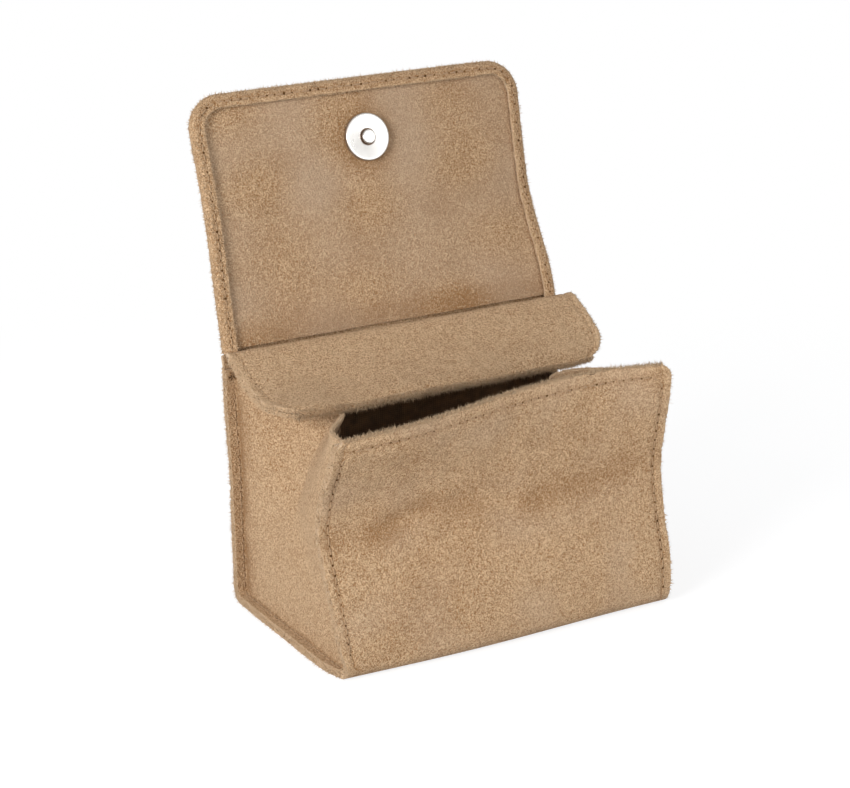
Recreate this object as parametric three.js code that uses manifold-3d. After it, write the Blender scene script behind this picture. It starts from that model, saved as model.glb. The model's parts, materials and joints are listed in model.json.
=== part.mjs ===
// Suede tobacco pouch with an open flap, a tongue over the mouth and a magnetic snap.
//
// One strip of suede runs down the front, under the base and up the back. Two gussets are sewn
// between its edges with the seam allowance standing outwards. The flap carries on from the back
// at a thinned crease: its edge is turned over a lining and holds the snap. A doubled tongue hangs
// from the crease over the mouth, and a cloth lining hides the magnet that the snap meets.
//
// Millimetres, +Z up, +X to the right seen from the front, +Y to the back. The origin is on the
// underside, in the middle of the base.
import * as THREE from "three";
import { mergeVertices } from "three/addons/utils/BufferGeometryUtils.js";
import Module from "manifold-3d";

const wasm = await Module();
wasm.setup();

// Leather
const SUEDE = 1.5; // thickness of the suede
const GAP = 0.35; // clearance between two sewn layers
const HARDWARE_GAP = 0.2; // clearance between two metal pieces

// Body strip: front, base and back
const STRIP_WIDTH = 133;
const BASE_DEPTH = 84; // outside, front to back
const FRONT_LENGTH = 85; // leather above the front bend
const CREASE_HEIGHT = 92.8; // height of the axis that the flap turns on
const BEND_RADIUS = 5; // middle of the leather at the two bottom bends
const SKIVE_LENGTH = 3.2; // the leather is thinned over this length at the crease
const SKIVE_EDGE = 0.3; // thickness left at the crease
const CREASE_CLEARANCE = 0.45; // from the crease's axis to each thinned edge
const FOLD_LEFT = 12.7; // depth of the soft fold across the front, at its left edge
const FOLD_MIDDLE = 10;
const FOLD_RIGHT = 7.6;
const LEAN_DEPTH = 8.3; // how far the front's top edge leans back, where it leans most
const LEAN_PLACE = 32; // that place, right of the middle
const LEAN_WIDTH = 76; // from there to where the edge stands upright again
const LEAN_REACH = 50; // how far down the front the lean starts

// Gussets
const SEAM_ALLOWANCE = 4.5; // how far the sewn edges stand out beside the gusset
const GUSSET_FRONT_DOWN = 1.5; // the gusset's front corner, along the leather from the front's top
const GUSSET_BACK_DOWN = 10; // its back corner below the crease
const GUSSET_CAVE = 18; // how far the top of a gusset sinks in
const GUSSET_DIP = 12.5; // how far its top edge dips, where it dips most
const GUSSET_DIP_SHIFT = 1.5; // a power: above 1, that place is nearer to the back

// Tongue
const TONGUE_LENGTH = 143;
const TONGUE_DEPTH = 45;
const TONGUE_OFFSET = 2; // it is sewn a little to the right
const TONGUE_CORNER = 8;
const TONGUE_SET_DOWN = 3.5; // its top below the crease, at the back
const TONGUE_FOLD_GAP = 0.4; // between its two layers
const TONGUE_SEAT = 0.4; // between its underside and the gussets' edges, measured upright

// Lining and the magnet behind the front
const LINING = 0.8;
const LINING_SET_DOWN = 4; // below the leather's top edges
const LINING_SLACK = 1.2; // hangs this much clear of the gussets
const MAGNET_DIAMETER = 16;
const MAGNET_THICKNESS = 2;
const MAGNET_SLACK = 0.9; // on each face of the magnet
const MAGNET_DOWN = 28; // from the front's top edge to the magnet's centre

// Flap
const FLAP_WIDTH = 136;
const FLAP_LENGTH = 90.5;
const FLAP_CORNER = 10;
const FLAP_LEAN = 17; // degrees back from upright, as it stands open
const FLAP_LINING = 1.2;
const HEM_WIDTH = 6.5;
const HEM_ROUND = 2; // rounding of the turned edge
const HEM_START = 5; // the hem and the lining start this far above the crease

// Snap
const SNAP_DOWN = 21.9; // from the flap's top edge to the snap's centre
const SNAP_DIAMETER = 17.2;
const SNAP_HEIGHT = 1.6;
const SNAP_FACE = 0.75; // thickness of the cap's face
const SNAP_RIM = 1.1; // wall of the cap's rim, round the prong plate
const SNAP_ROLL = 0.5; // rounding of the cap's rim
const STUD_DIAMETER = 5.1;
const STUD_HEIGHT = 1.4; // above the cap
const STUD_SHANK = 3;
const SHEET_STEEL = 0.5; // prong plate and washer
const WASHER_DIAMETER = 16.4;
const PRONG_SPACING = 8; // between the middles of the two prongs
const PRONG_WIDTH = 3;
const PRONG_MARGIN = 0.6; // from a prong's bent end to the washer's edge
const BUMP_DIAMETER = 31; // where the flap bulges over the washer
const BUMP_HEIGHT = 2.2;

// How finely curved forms are cut
const ROUND_STEPS = 40;
const CORNER_STEPS = 6;
const FRONT_STEPS = 24;

const suede = new THREE.MeshStandardMaterial({ color: 0xaf8f6b, roughness: 0.95, metalness: 0 });
const cloth = new THREE.MeshStandardMaterial({ color: 0x2f2116, roughness: 0.9, metalness: 0 });
const nickel = new THREE.MeshStandardMaterial({ color: 0xe2e0db, roughness: 0.25, metalness: 1 });
const magnet = new THREE.MeshStandardMaterial({ color: 0x6f6f72, roughness: 0.45, metalness: 0.8 });

// Solids

// A closed geometry as a solid, with its faces turned outwards.
function solidOf(geometry) {
  const bare = geometry.clone();
  bare.deleteAttribute("normal");
  bare.deleteAttribute("uv");
  const merged = mergeVertices(bare, 1e-4);
  const vertProperties = new Float32Array(merged.attributes.position.array);
  const triVerts = new Uint32Array(merged.index.array);
  const [a, b, c] = [new THREE.Vector3(), new THREE.Vector3(), new THREE.Vector3()];
  let volume = 0;
  for (let i = 0; i < triVerts.length; i += 3) {
    a.fromArray(vertProperties, 3 * triVerts[i]);
    b.fromArray(vertProperties, 3 * triVerts[i + 1]);
    c.fromArray(vertProperties, 3 * triVerts[i + 2]);
    volume += a.dot(b.cross(c));
  }
  if (volume < 0) triVerts.reverse();
  return new wasm.Manifold(new wasm.Mesh({ numProp: 3, vertProperties, triVerts }));
}

function meshOf(name, solid, material) {
  const made = solid.getMesh();
  const geometry = new THREE.BufferGeometry();
  geometry.setAttribute("position", new THREE.BufferAttribute(made.vertProperties, 3));
  geometry.setIndex(new THREE.BufferAttribute(made.triVerts, 1));
  geometry.computeVertexNormals();
  const mesh = new THREE.Mesh(geometry, material);
  mesh.name = name;
  return mesh;
}

// n equal steps from one number to another, both ends included.
function steps(from, to, n) {
  return Array.from({ length: n + 1 }, (_, i) => from + ((to - from) * i) / n);
}

// A sheet of leather or cloth: a surface, as a function of two parameters, given a thickness.
function sheet(pointAt, us, vs, thicknessAt) {
  const tiny = 1e-3;
  const sides = [[], []];
  for (const u of us) {
    for (const v of vs) {
      const alongU = pointAt(u + tiny, v).sub(pointAt(u - tiny, v));
      const alongV = pointAt(u, v + tiny).sub(pointAt(u, v - tiny));
      const half = alongU.cross(alongV).setLength(thicknessAt(u, v) / 2);
      sides[0].push(pointAt(u, v).add(half));
      sides[1].push(pointAt(u, v).sub(half));
    }
  }
  const rows = us.length;
  const columns = vs.length;
  const index = [];
  const quad = (a, b, c, d) => index.push(a, b, c, a, c, d);
  const at = (i, j, side) => side * rows * columns + i * columns + j;
  for (let i = 0; i + 1 < rows; i++) {
    for (let j = 0; j + 1 < columns; j++) {
      quad(at(i, j, 0), at(i + 1, j, 0), at(i + 1, j + 1, 0), at(i, j + 1, 0));
      quad(at(i, j, 1), at(i, j + 1, 1), at(i + 1, j + 1, 1), at(i + 1, j, 1));
    }
  }
  const rim = (a, b) => quad(at(...a, 0), at(...b, 0), at(...b, 1), at(...a, 1));
  for (let i = 0; i + 1 < rows; i++) {
    rim([i + 1, 0], [i, 0]);
    rim([i, columns - 1], [i + 1, columns - 1]);
  }
  for (let j = 0; j + 1 < columns; j++) {
    rim([0, j], [0, j + 1]);
    rim([rows - 1, j + 1], [rows - 1, j]);
  }
  const geometry = new THREE.BufferGeometry().setFromPoints([...sides[0], ...sides[1]]);
  geometry.setIndex(index);
  return solidOf(geometry);
}

function box(x, y, z) {
  const geometry = new THREE.BoxGeometry(x[1] - x[0], y[1] - y[0], z[1] - z[0]);
  geometry.translate((x[0] + x[1]) / 2, (y[0] + y[1]) / 2, (z[0] + z[1]) / 2);
  return solidOf(geometry);
}

// Body strip

const middleDepth = BASE_DEPTH - SUEDE; // between the middles of the front and the back
const bendLength = (Math.PI / 2) * BEND_RADIUS;
const baseLength = middleDepth - 2 * BEND_RADIUS;
const backLength = CREASE_HEIGHT - CREASE_CLEARANCE - SUEDE / 2 - BEND_RADIUS;
const frontEnd = FRONT_LENGTH;
const baseStart = frontEnd + bendLength;
const baseEnd = baseStart + baseLength;
const backStart = baseEnd + bendLength;
const stripEnd = backStart + backLength;

// Depth of the fold across the front: a parabola through its left, middle and right values.
function foldDepth(x) {
  const across = (2 * x) / STRIP_WIDTH;
  const lean = (FOLD_RIGHT - FOLD_LEFT) / 2;
  const bow = (FOLD_RIGHT + FOLD_LEFT) / 2 - FOLD_MIDDLE;
  return FOLD_MIDDLE + lean * across + bow * across * across;
}

// How far the front stands inside its plane, s along the leather from its top edge: a fold across
// it, as a squared sine, and the lean at its top, as a parabola fading to both sides.
function frontSunk(x, s) {
  const fold = foldDepth(x) * Math.sin((Math.PI * s) / FRONT_LENGTH) ** 2;
  const beside = THREE.MathUtils.clamp((x - LEAN_PLACE) / LEAN_WIDTH, -1, 1);
  const lean = LEAN_DEPTH * Math.cos((Math.PI / 2) * beside) ** 2;
  return fold + lean * Math.max(0, 1 - s / LEAN_REACH) ** 2;
}

// Height of the front above its bend: the leather's length, less what it spends on sinking in.
function frontHeight(x, s) {
  const step = (FRONT_LENGTH - s) / FRONT_STEPS;
  let height = 0;
  for (let i = 0; i < FRONT_STEPS; i++) {
    const inwards = frontSunk(x, s + i * step) - frontSunk(x, s + (i + 1) * step);
    height += Math.sqrt(step * step - inwards * inwards);
  }
  return height;
}

// A point in the middle of the strip, s along it from the front's top edge.
function stripPoint(x, s) {
  const low = SUEDE / 2;
  const front = -middleDepth / 2;
  const arc = (angle, y) =>
    new THREE.Vector3(
      x,
      y + BEND_RADIUS * Math.cos(angle),
      low + BEND_RADIUS + BEND_RADIUS * Math.sin(angle),
    );
  if (s < frontEnd) {
    return new THREE.Vector3(x, front + frontSunk(x, s), low + BEND_RADIUS + frontHeight(x, s));
  }
  if (s <= baseStart) return arc(Math.PI + (s - frontEnd) / BEND_RADIUS, front + BEND_RADIUS);
  if (s <= baseEnd) return new THREE.Vector3(x, front + BEND_RADIUS + s - baseStart, low);
  if (s <= backStart) return arc(-Math.PI / 2 + (s - baseEnd) / BEND_RADIUS, -front - BEND_RADIUS);
  return new THREE.Vector3(x, -front, low + BEND_RADIUS + s - backStart);
}

// The same, moved inwards from the middle of the strip, square to it.
function insideStrip(x, s, inwards) {
  const tiny = 1e-3;
  const along = stripPoint(x, s + tiny).sub(stripPoint(x, s - tiny));
  const across = stripPoint(x + tiny, s).sub(stripPoint(x - tiny, s));
  return stripPoint(x, s).add(across.cross(along).setLength(inwards));
}

// Stations along the strip, between two places on it.
function stations(from, to) {
  const all = [
    ...steps(0, frontEnd, 12),
    ...steps(frontEnd, baseStart, 4),
    ...steps(baseStart, baseEnd, 3),
    ...steps(baseEnd, backStart, 4),
    ...steps(backStart, stripEnd - SKIVE_LENGTH, 4),
    stripEnd,
  ];
  const inner = all.filter((s) => s > from + 0.01 && s < to - 0.01);
  return [...new Set([from, ...inner, to].map((s) => Number(s.toFixed(6))))];
}

function bodyWrap() {
  const thickness = (x, s) =>
    SKIVE_EDGE + (SUEDE - SKIVE_EDGE) * Math.min(1, (stripEnd - s) / SKIVE_LENGTH);
  const across = steps(-STRIP_WIDTH / 2, STRIP_WIDTH / 2, 20);
  return meshOf("body_wrap", sheet(stripPoint, across, stations(0, stripEnd), thickness), suede);
}

// Gussets

const gussetRoot = STRIP_WIDTH / 2 - SEAM_ALLOWANCE; // middle of the gusset's panel
const gussetInwards = SUEDE + GAP; // its flange lies inside the strip
const gussetHeight = CREASE_HEIGHT - GUSSET_BACK_DOWN;
const gussetBackTop = backStart + gussetHeight - SUEDE / 2 - BEND_RADIUS;

// How far a place on a gusset sinks inwards and dips: squared sines across the depth, growing with
// height. The place is given by its depth and height before it sinks.
function gussetSink(side, y, z) {
  const height = stripPoint(side * gussetRoot, 0).z;
  const along = (FRONT_LENGTH * Math.max(0, height - z)) / (height - SUEDE / 2 - BEND_RADIUS);
  const front = stripPoint(side * gussetRoot, Math.min(FRONT_LENGTH, along)).y + gussetInwards;
  const back = middleDepth / 2 - gussetInwards;
  const across = THREE.MathUtils.clamp((y - front) / (back - front), 0, 1);
  const bowl = Math.sin(Math.PI * across) ** 2;
  const up = Math.max(0, z / gussetHeight);
  const dip = Math.sin(Math.PI * across ** GUSSET_DIP_SHIFT) ** 2;
  return { inwards: GUSSET_CAVE * bowl * up ** 2, down: GUSSET_DIP * dip * up ** 4 };
}

// A panel between the front and the back, up from the base to two top corners.
function sidePanel(side, root, inwardsAt, frontTop, backTop) {
  return (across, up) => {
    const frontAlong = baseStart + (frontTop - baseStart) * up;
    const backAlong = baseEnd + (backTop - baseEnd) * up;
    const front = insideStrip(side * root, frontAlong, inwardsAt(frontAlong));
    const back = insideStrip(side * root, backAlong, inwardsAt(backAlong));
    const point = front.lerp(back, across);
    const sink = gussetSink(side, point.y, point.z);
    point.x -= side * sink.inwards;
    point.z -= sink.down;
    return point;
  };
}

function gussetPanel(side) {
  return sidePanel(side, gussetRoot, () => gussetInwards, GUSSET_FRONT_DOWN, gussetBackTop);
}

function gusset(name, side) {
  const panel = sheet(
    gussetPanel(side),
    steps(0, 1, 12),
    steps(0, 1, 12),
    () => SUEDE,
  );
  const flange = sheet(
    (x, s) => insideStrip(side * x, s, gussetInwards),
    [gussetRoot - SUEDE / 2, STRIP_WIDTH / 2],
    stations(GUSSET_FRONT_DOWN, gussetBackTop),
    () => SUEDE,
  );
  return meshOf(name, panel.add(flange), suede);
}

// Tongue

const tongueThickness = 2 * SUEDE + TONGUE_FOLD_GAP;
const tongueBack = BASE_DEPTH / 2 - SUEDE - GAP;
const tongueUnder = CREASE_HEIGHT - TONGUE_SET_DOWN - tongueThickness;

// The tongue slopes down from the back until its underside meets the top edge of a gusset.
function tongueSlope() {
  const slopes = [-1, 1].flatMap((side) =>
    steps(0, 1, 60)
      .map((across) => gussetPanel(side)(across, 1))
      .filter((top) => tongueBack - top.y < TONGUE_DEPTH)
      .map((top) => Math.atan2(tongueUnder - TONGUE_SEAT - top.z, tongueBack - top.y)),
  );
  return Math.min(...slopes);
}

// Two layers, folded at the front edge: a hairpin section along X, cut to rounded front corners.
// It is drawn flat, with its back edge on Y = 0 and its underside on Z = 0.
function tongue() {
  const outer = tongueThickness / 2;
  const inner = TONGUE_FOLD_GAP / 2;
  const turn = TONGUE_DEPTH - outer;
  const section = new THREE.Shape();
  section.moveTo(0, 0);
  section.lineTo(turn, 0);
  section.absarc(turn, outer, outer, -Math.PI / 2, Math.PI / 2, false);
  section.lineTo(0, tongueThickness);
  section.lineTo(0, outer + inner);
  section.lineTo(turn, outer + inner);
  section.absarc(turn, outer, inner, Math.PI / 2, -Math.PI / 2, true);
  section.lineTo(0, outer - inner);
  section.closePath();
  const folded = new THREE.ExtrudeGeometry(section, {
    depth: TONGUE_LENGTH,
    bevelEnabled: false,
    curveSegments: CORNER_STEPS,
  });
  folded.rotateX(Math.PI / 2);
  folded.rotateZ(-Math.PI / 2);
  folded.translate(TONGUE_LENGTH / 2, 0, 0);

  const half = TONGUE_LENGTH / 2;
  const outline = new THREE.Shape();
  outline.moveTo(half, 1);
  outline.lineTo(-half, 1);
  outline.lineTo(-half, -TONGUE_DEPTH + TONGUE_CORNER);
  outline.absarc(-half + TONGUE_CORNER, -TONGUE_DEPTH + TONGUE_CORNER, TONGUE_CORNER,
    Math.PI, 1.5 * Math.PI, false);
  outline.lineTo(half - TONGUE_CORNER, -TONGUE_DEPTH);
  outline.absarc(half - TONGUE_CORNER, -TONGUE_DEPTH + TONGUE_CORNER, TONGUE_CORNER,
    1.5 * Math.PI, 2 * Math.PI, false);
  outline.closePath();
  const cutter = new THREE.ExtrudeGeometry(outline, {
    depth: tongueThickness + 2,
    bevelEnabled: false,
    curveSegments: CORNER_STEPS,
  });
  cutter.translate(0, 0, -1);

  const mesh = meshOf("tongue", solidOf(folded).intersect(solidOf(cutter)), suede);
  mesh.rotation.x = tongueSlope();
  mesh.position.set(TONGUE_OFFSET, tongueBack, tongueUnder);
  return mesh;
}

// Lining and magnet

const liningRoot = gussetRoot - SUEDE / 2 - GAP - LINING_SLACK - LINING / 2;
const liningClose = SUEDE / 2 + GAP + LINING / 2; // inwards of the strip at the base and the back
const magnetRoom = MAGNET_THICKNESS + 2 * MAGNET_SLACK;

// The lining lies against the base and the back, and stands off the front for the magnet.
function liningInwards(s) {
  const off = THREE.MathUtils.smoothstep(baseStart - s, 0, baseStart / 2);
  return liningClose + off * (magnetRoom - GAP);
}

function lining() {
  const frontTop = LINING_SET_DOWN + GUSSET_FRONT_DOWN;
  const backTop = gussetBackTop - LINING_SET_DOWN;
  const strip = sheet(
    (x, s) => insideStrip(x, s, liningInwards(s)),
    steps(-liningRoot - LINING / 2, liningRoot + LINING / 2, 14),
    stations(frontTop, backTop),
    () => LINING,
  );
  const sides = [-1, 1].map((side) =>
    sheet(
      sidePanel(side, liningRoot, liningInwards, frontTop, backTop),
      steps(0, 1, 12),
      steps(0, 1, 10),
      () => LINING,
    ),
  );
  return meshOf("lining", strip.add(sides[0]).add(sides[1]), cloth);
}

function keeperMagnet() {
  const disc = new THREE.CylinderGeometry(
    MAGNET_DIAMETER / 2, MAGNET_DIAMETER / 2, MAGNET_THICKNESS, ROUND_STEPS);
  const mesh = meshOf("keeper_magnet", solidOf(disc), magnet);
  const middle = SUEDE / 2 + MAGNET_SLACK + MAGNET_THICKNESS / 2;
  mesh.position.copy(insideStrip(0, MAGNET_DOWN, middle));
  const inwards = insideStrip(0, MAGNET_DOWN, middle + 1).sub(mesh.position);
  mesh.quaternion.setFromUnitVectors(new THREE.Vector3(0, 1, 0), inwards.normalize());
  return mesh;
}

// Flap: drawn upright in its own frame, with the crease on its X axis and its inside towards -Y.
// Depths are measured towards the inside from the middle of the outer leather.

const snapUp = FLAP_LENGTH - SNAP_DOWN;
const outerFace = SUEDE / 2;
const liningBack = outerFace + GAP;
const liningFront = liningBack + FLAP_LINING;
const hemBack = liningFront + GAP;
const hemFront = hemBack + SUEDE;

// The flap's outline, drawn in by a margin, with its foot at the given height.
function flapOutline(margin, foot) {
  const half = FLAP_WIDTH / 2 - margin;
  const top = FLAP_LENGTH - margin;
  const corner = Math.max(1, FLAP_CORNER - margin);
  const shape = new THREE.Shape();
  shape.moveTo(-half, foot);
  shape.lineTo(half, foot);
  shape.lineTo(half, top - corner);
  shape.absarc(half - corner, top - corner, corner, 0, Math.PI / 2, false);
  shape.lineTo(-half + corner, top);
  shape.absarc(-half + corner, top - corner, corner, Math.PI / 2, Math.PI, false);
  shape.closePath();
  return shape;
}

// An outline extruded between two depths.
function flapLayer(shape, from, to) {
  const geometry = new THREE.ExtrudeGeometry(shape, {
    depth: to - from,
    bevelEnabled: false,
    curveSegments: CORNER_STEPS,
  });
  geometry.translate(0, 0, from);
  geometry.rotateX(Math.PI / 2);
  return solidOf(geometry);
}

// A section in depth and height, extruded across the flap.
function flapBar(corners, width) {
  const shape = new THREE.Shape(corners.map(([depth, up]) => new THREE.Vector2(-depth, up)));
  const geometry = new THREE.ExtrudeGeometry(shape, { depth: width, bevelEnabled: false });
  geometry.translate(0, 0, -width / 2);
  geometry.rotateX(Math.PI / 2);
  geometry.rotateZ(Math.PI / 2);
  return solidOf(geometry);
}

// A round piece on the snap's axis, from a profile of radius and depth that starts and ends on it.
function turned(profile) {
  const points = profile.map(([radius, depth]) => new THREE.Vector2(radius, -depth));
  const geometry = new THREE.LatheGeometry(points, ROUND_STEPS);
  geometry.translate(0, 0, snapUp);
  return solidOf(geometry);
}

// A shallow cap over the washer, as a profile: rim to crown from the given depth, outwards.
function bump(radius, depth) {
  const rounds = steps(0, 1, CORNER_STEPS).map((share) => [
    radius * (1 - share),
    depth - BUMP_HEIGHT * (1 - (1 - share) ** 2),
  ]);
  return [[0, depth + SUEDE / 2], [radius, depth + SUEDE / 2], ...rounds];
}

function flapOuter() {
  const below = -2 * HEM_START;
  const thickness = hemFront + outerFace;
  const blank = new THREE.ExtrudeGeometry(flapOutline(0, below), {
    depth: thickness - 2 * HEM_ROUND,
    bevelThickness: HEM_ROUND,
    bevelSize: HEM_ROUND,
    bevelOffset: -HEM_ROUND,
    bevelSegments: 3,
    curveSegments: CORNER_STEPS,
  });
  blank.translate(0, 0, HEM_ROUND - outerFace);
  blank.rotateX(Math.PI / 2);

  const far = thickness + 1;
  const wide = [-FLAP_WIDTH, FLAP_WIDTH];
  const edge = SKIVE_EDGE / 2;
  const skived = CREASE_CLEARANCE + SKIVE_LENGTH;
  const thinned = (side) =>
    flapBar([
      [side * edge, CREASE_CLEARANCE - 1],
      [side * edge, CREASE_CLEARANCE],
      [side * outerFace, skived],
      [side * (outerFace + 1), skived],
      [side * (outerFace + 1), CREASE_CLEARANCE - 1],
    ], 2 * FLAP_WIDTH);
  const solid = solidOf(blank)
    .subtract(flapLayer(flapOutline(SUEDE, 2 * below), outerFace, hemBack))
    .subtract(flapLayer(flapOutline(HEM_WIDTH, 2 * below), outerFace, far))
    .subtract(box(wide, [-far, -outerFace], [2 * below, HEM_START]))
    .subtract(box(wide, [-far, far], [2 * below, CREASE_CLEARANCE]))
    .subtract(thinned(1))
    .subtract(thinned(-1))
    .add(turned(bump(BUMP_DIAMETER / 2, -outerFace)))
    .subtract(turned(bump(BUMP_DIAMETER / 2 - SUEDE, outerFace)));
  return meshOf("flap_outer", solid, suede);
}

const prongSide = PRONG_SPACING / 2;
const slotRoom = SHEET_STEEL / 2 + HARDWARE_GAP;
const prongSlots = [-1, 1].map((side) =>
  box(
    [side * prongSide - slotRoom, side * prongSide + slotRoom],
    [-2 * hemFront, 2 * hemFront],
    [snapUp - PRONG_WIDTH / 2 - HARDWARE_GAP, snapUp + PRONG_WIDTH / 2 + HARDWARE_GAP],
  ),
);

function flapLining() {
  const layer = flapLayer(flapOutline(SUEDE + GAP, HEM_START), liningBack, liningFront);
  return meshOf("flap_lining", layer.subtract(prongSlots[0]).subtract(prongSlots[1]), suede);
}

// Snap: a cap over a prong plate, riveted together by the stud. The prongs go through the flap's
// lining and a washer, and are bent outwards behind it.

const capBack = liningFront + HARDWARE_GAP;
const capFront = capBack + SNAP_HEIGHT;
const plateBack = liningFront + GAP;
const plateFront = plateBack + SHEET_STEEL;
const washerFront = liningBack - HARDWARE_GAP;
const washerBack = washerFront - SHEET_STEEL;
const footFront = washerBack - HARDWARE_GAP;
const footBack = footFront - SHEET_STEEL;
const shank = STUD_SHANK / 2;
const shankHole = shank + HARDWARE_GAP;
const plateRadius = SNAP_DIAMETER / 2 - SNAP_RIM - HARDWARE_GAP;

function snapCap() {
  const radius = SNAP_DIAMETER / 2;
  const inside = radius - SNAP_RIM;
  const roll = steps(0, 1, 3).map((share) => {
    const angle = (share * Math.PI) / 2;
    return [
      radius - SNAP_ROLL * (1 - Math.cos(angle)),
      capFront - SNAP_ROLL * (1 - Math.sin(angle)),
    ];
  });
  const ring = [
    [shankHole, capFront - SNAP_FACE],
    [inside, capFront - SNAP_FACE],
    [inside, capBack],
    [radius, capBack],
    ...roll,
    [shankHole, capFront],
    [shankHole, capFront - SNAP_FACE],
  ];
  return meshOf("snap_cap", turned(ring), nickel);
}

function snapStud() {
  const radius = STUD_DIAMETER / 2;
  const foot = capFront + HARDWARE_GAP;
  const top = capFront + STUD_HEIGHT;
  const chamfer = STUD_HEIGHT / 4;
  return meshOf("snap_stud", turned([
    [0, plateBack],
    [shank, plateBack],
    [shank, foot],
    [radius, foot],
    [radius, top - chamfer],
    [radius - chamfer, top],
    [0, top],
  ]), nickel);
}

function snapProngPlate() {
  const disc = turned([
    [shankHole, plateBack],
    [plateRadius, plateBack],
    [plateRadius, plateFront],
    [shankHole, plateFront],
    [shankHole, plateBack],
  ]);
  const half = SHEET_STEEL / 2;
  const tall = [snapUp - PRONG_WIDTH / 2, snapUp + PRONG_WIDTH / 2];
  const prongs = [-1, 1].map((side) => {
    const middle = side * prongSide;
    const tip = side * (WASHER_DIAMETER / 2 - PRONG_MARGIN);
    const leg = box([middle - half, middle + half], [-plateBack - half, -footBack], tall);
    const foot = box([Math.min(middle, tip), Math.max(middle, tip)], [-footFront, -footBack], tall);
    return leg.add(foot);
  });
  return meshOf("snap_prong_plate", disc.add(prongs[0]).add(prongs[1]), nickel);
}

function snapWasher() {
  const disc = turned([
    [shankHole, washerBack],
    [WASHER_DIAMETER / 2, washerBack],
    [WASHER_DIAMETER / 2, washerFront],
    [shankHole, washerFront],
    [shankHole, washerBack],
  ]);
  return meshOf("snap_washer", disc.subtract(prongSlots[0]).subtract(prongSlots[1]), nickel);
}

// Assembly

const flap = new THREE.Group();
flap.position.set(0, middleDepth / 2, CREASE_HEIGHT);
flap.rotation.x = -THREE.MathUtils.degToRad(FLAP_LEAN);
flap.add(flapOuter(), flapLining(), snapCap(), snapStud(), snapProngPlate(), snapWasher());

const pouch = new THREE.Group();
pouch.add(bodyWrap(), gusset("left_gusset", -1), gusset("right_gusset", 1));
pouch.add(tongue(), lining(), keeperMagnet(), flap);

export default pouch;
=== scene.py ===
"""Suede tobacco pouch: leather, stitches, nap and snap, built as an add-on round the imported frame.

Every leather piece is a sheet worked out from two lengths on the flat leather, in metres: x across
and s, u or t along. The sheets share the surfaces of the class Leather, so that what is sewn
together lies together.
"""

import json
import math

import bpy
import numpy as np
from mathutils import Matrix, Vector


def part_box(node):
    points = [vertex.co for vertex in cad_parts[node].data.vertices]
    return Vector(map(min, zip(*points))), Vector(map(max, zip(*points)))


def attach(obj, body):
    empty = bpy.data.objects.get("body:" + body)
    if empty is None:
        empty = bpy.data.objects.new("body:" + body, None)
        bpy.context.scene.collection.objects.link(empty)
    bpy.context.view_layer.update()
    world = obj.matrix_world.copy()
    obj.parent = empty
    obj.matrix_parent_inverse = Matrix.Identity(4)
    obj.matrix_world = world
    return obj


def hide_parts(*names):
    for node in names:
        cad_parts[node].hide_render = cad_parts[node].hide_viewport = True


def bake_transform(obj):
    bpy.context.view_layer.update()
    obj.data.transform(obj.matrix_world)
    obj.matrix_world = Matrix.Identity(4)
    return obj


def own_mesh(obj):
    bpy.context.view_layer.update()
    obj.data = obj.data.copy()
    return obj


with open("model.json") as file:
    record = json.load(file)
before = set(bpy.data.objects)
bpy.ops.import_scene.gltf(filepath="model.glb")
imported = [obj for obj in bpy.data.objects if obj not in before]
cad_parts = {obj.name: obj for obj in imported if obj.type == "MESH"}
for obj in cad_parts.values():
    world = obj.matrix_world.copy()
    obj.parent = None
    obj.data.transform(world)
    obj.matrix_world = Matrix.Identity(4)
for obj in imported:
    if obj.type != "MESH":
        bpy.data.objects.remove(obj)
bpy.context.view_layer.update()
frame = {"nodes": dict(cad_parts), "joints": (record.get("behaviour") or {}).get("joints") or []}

bl_info = {
    "name": "Suede pouch",
    "version": (1, 0, 0),
    "blender": (4, 5, 0),
    "location": "3D View > Sidebar > Pouch",
    "description": "Builds a suede pouch with a flap, a tongue over the mouth and a magnetic snap",
    "category": "Add Mesh",
}

MM = 0.001
HINGE = frame["joints"][0]["pos_m"]
FLAP_LOW, FLAP_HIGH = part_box("flap_outer")
SNAP_LOW, SNAP_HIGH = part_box("snap_cap")

# Rows of stitches, each from the edge that it follows
SEAM_LINE = 3.3 * MM
TOP_LINE = 4.0 * MM
FLAP_LINE = 2.9 * MM
TONGUE_LINE = 2.8 * MM

# Where the soft body differs from side to side
PINCH_LEFT = 2.6 * MM
PINCH_RIGHT = 0.9 * MM
LEFT_GUSSET_FRONT_UP = 2.4 * MM
LEFT_GUSSET_BACK_UP = 5.5 * MM

# Small gaps and roundings
FLANGE_GAP = 0.1 * MM
TONGUE_HALF_GAP = 0.2 * MM
MERGE_WITHIN = 0.004 * MM
CUT_ROUND = 0.35 * MM
SHARP_EDGE = math.radians(62)
NEEDLE_HOLE = 0.5 * MM


def length(name, description, default):
    """A property for a length in metres."""
    return bpy.props.FloatProperty(
        name=name, description=description, default=default, unit="LENGTH", precision=5
    )


def colour(name, description, default):
    """A property for a linear colour."""
    return bpy.props.FloatVectorProperty(
        name=name, description=description, default=default, subtype="COLOR", size=3, min=0, max=1
    )


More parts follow.
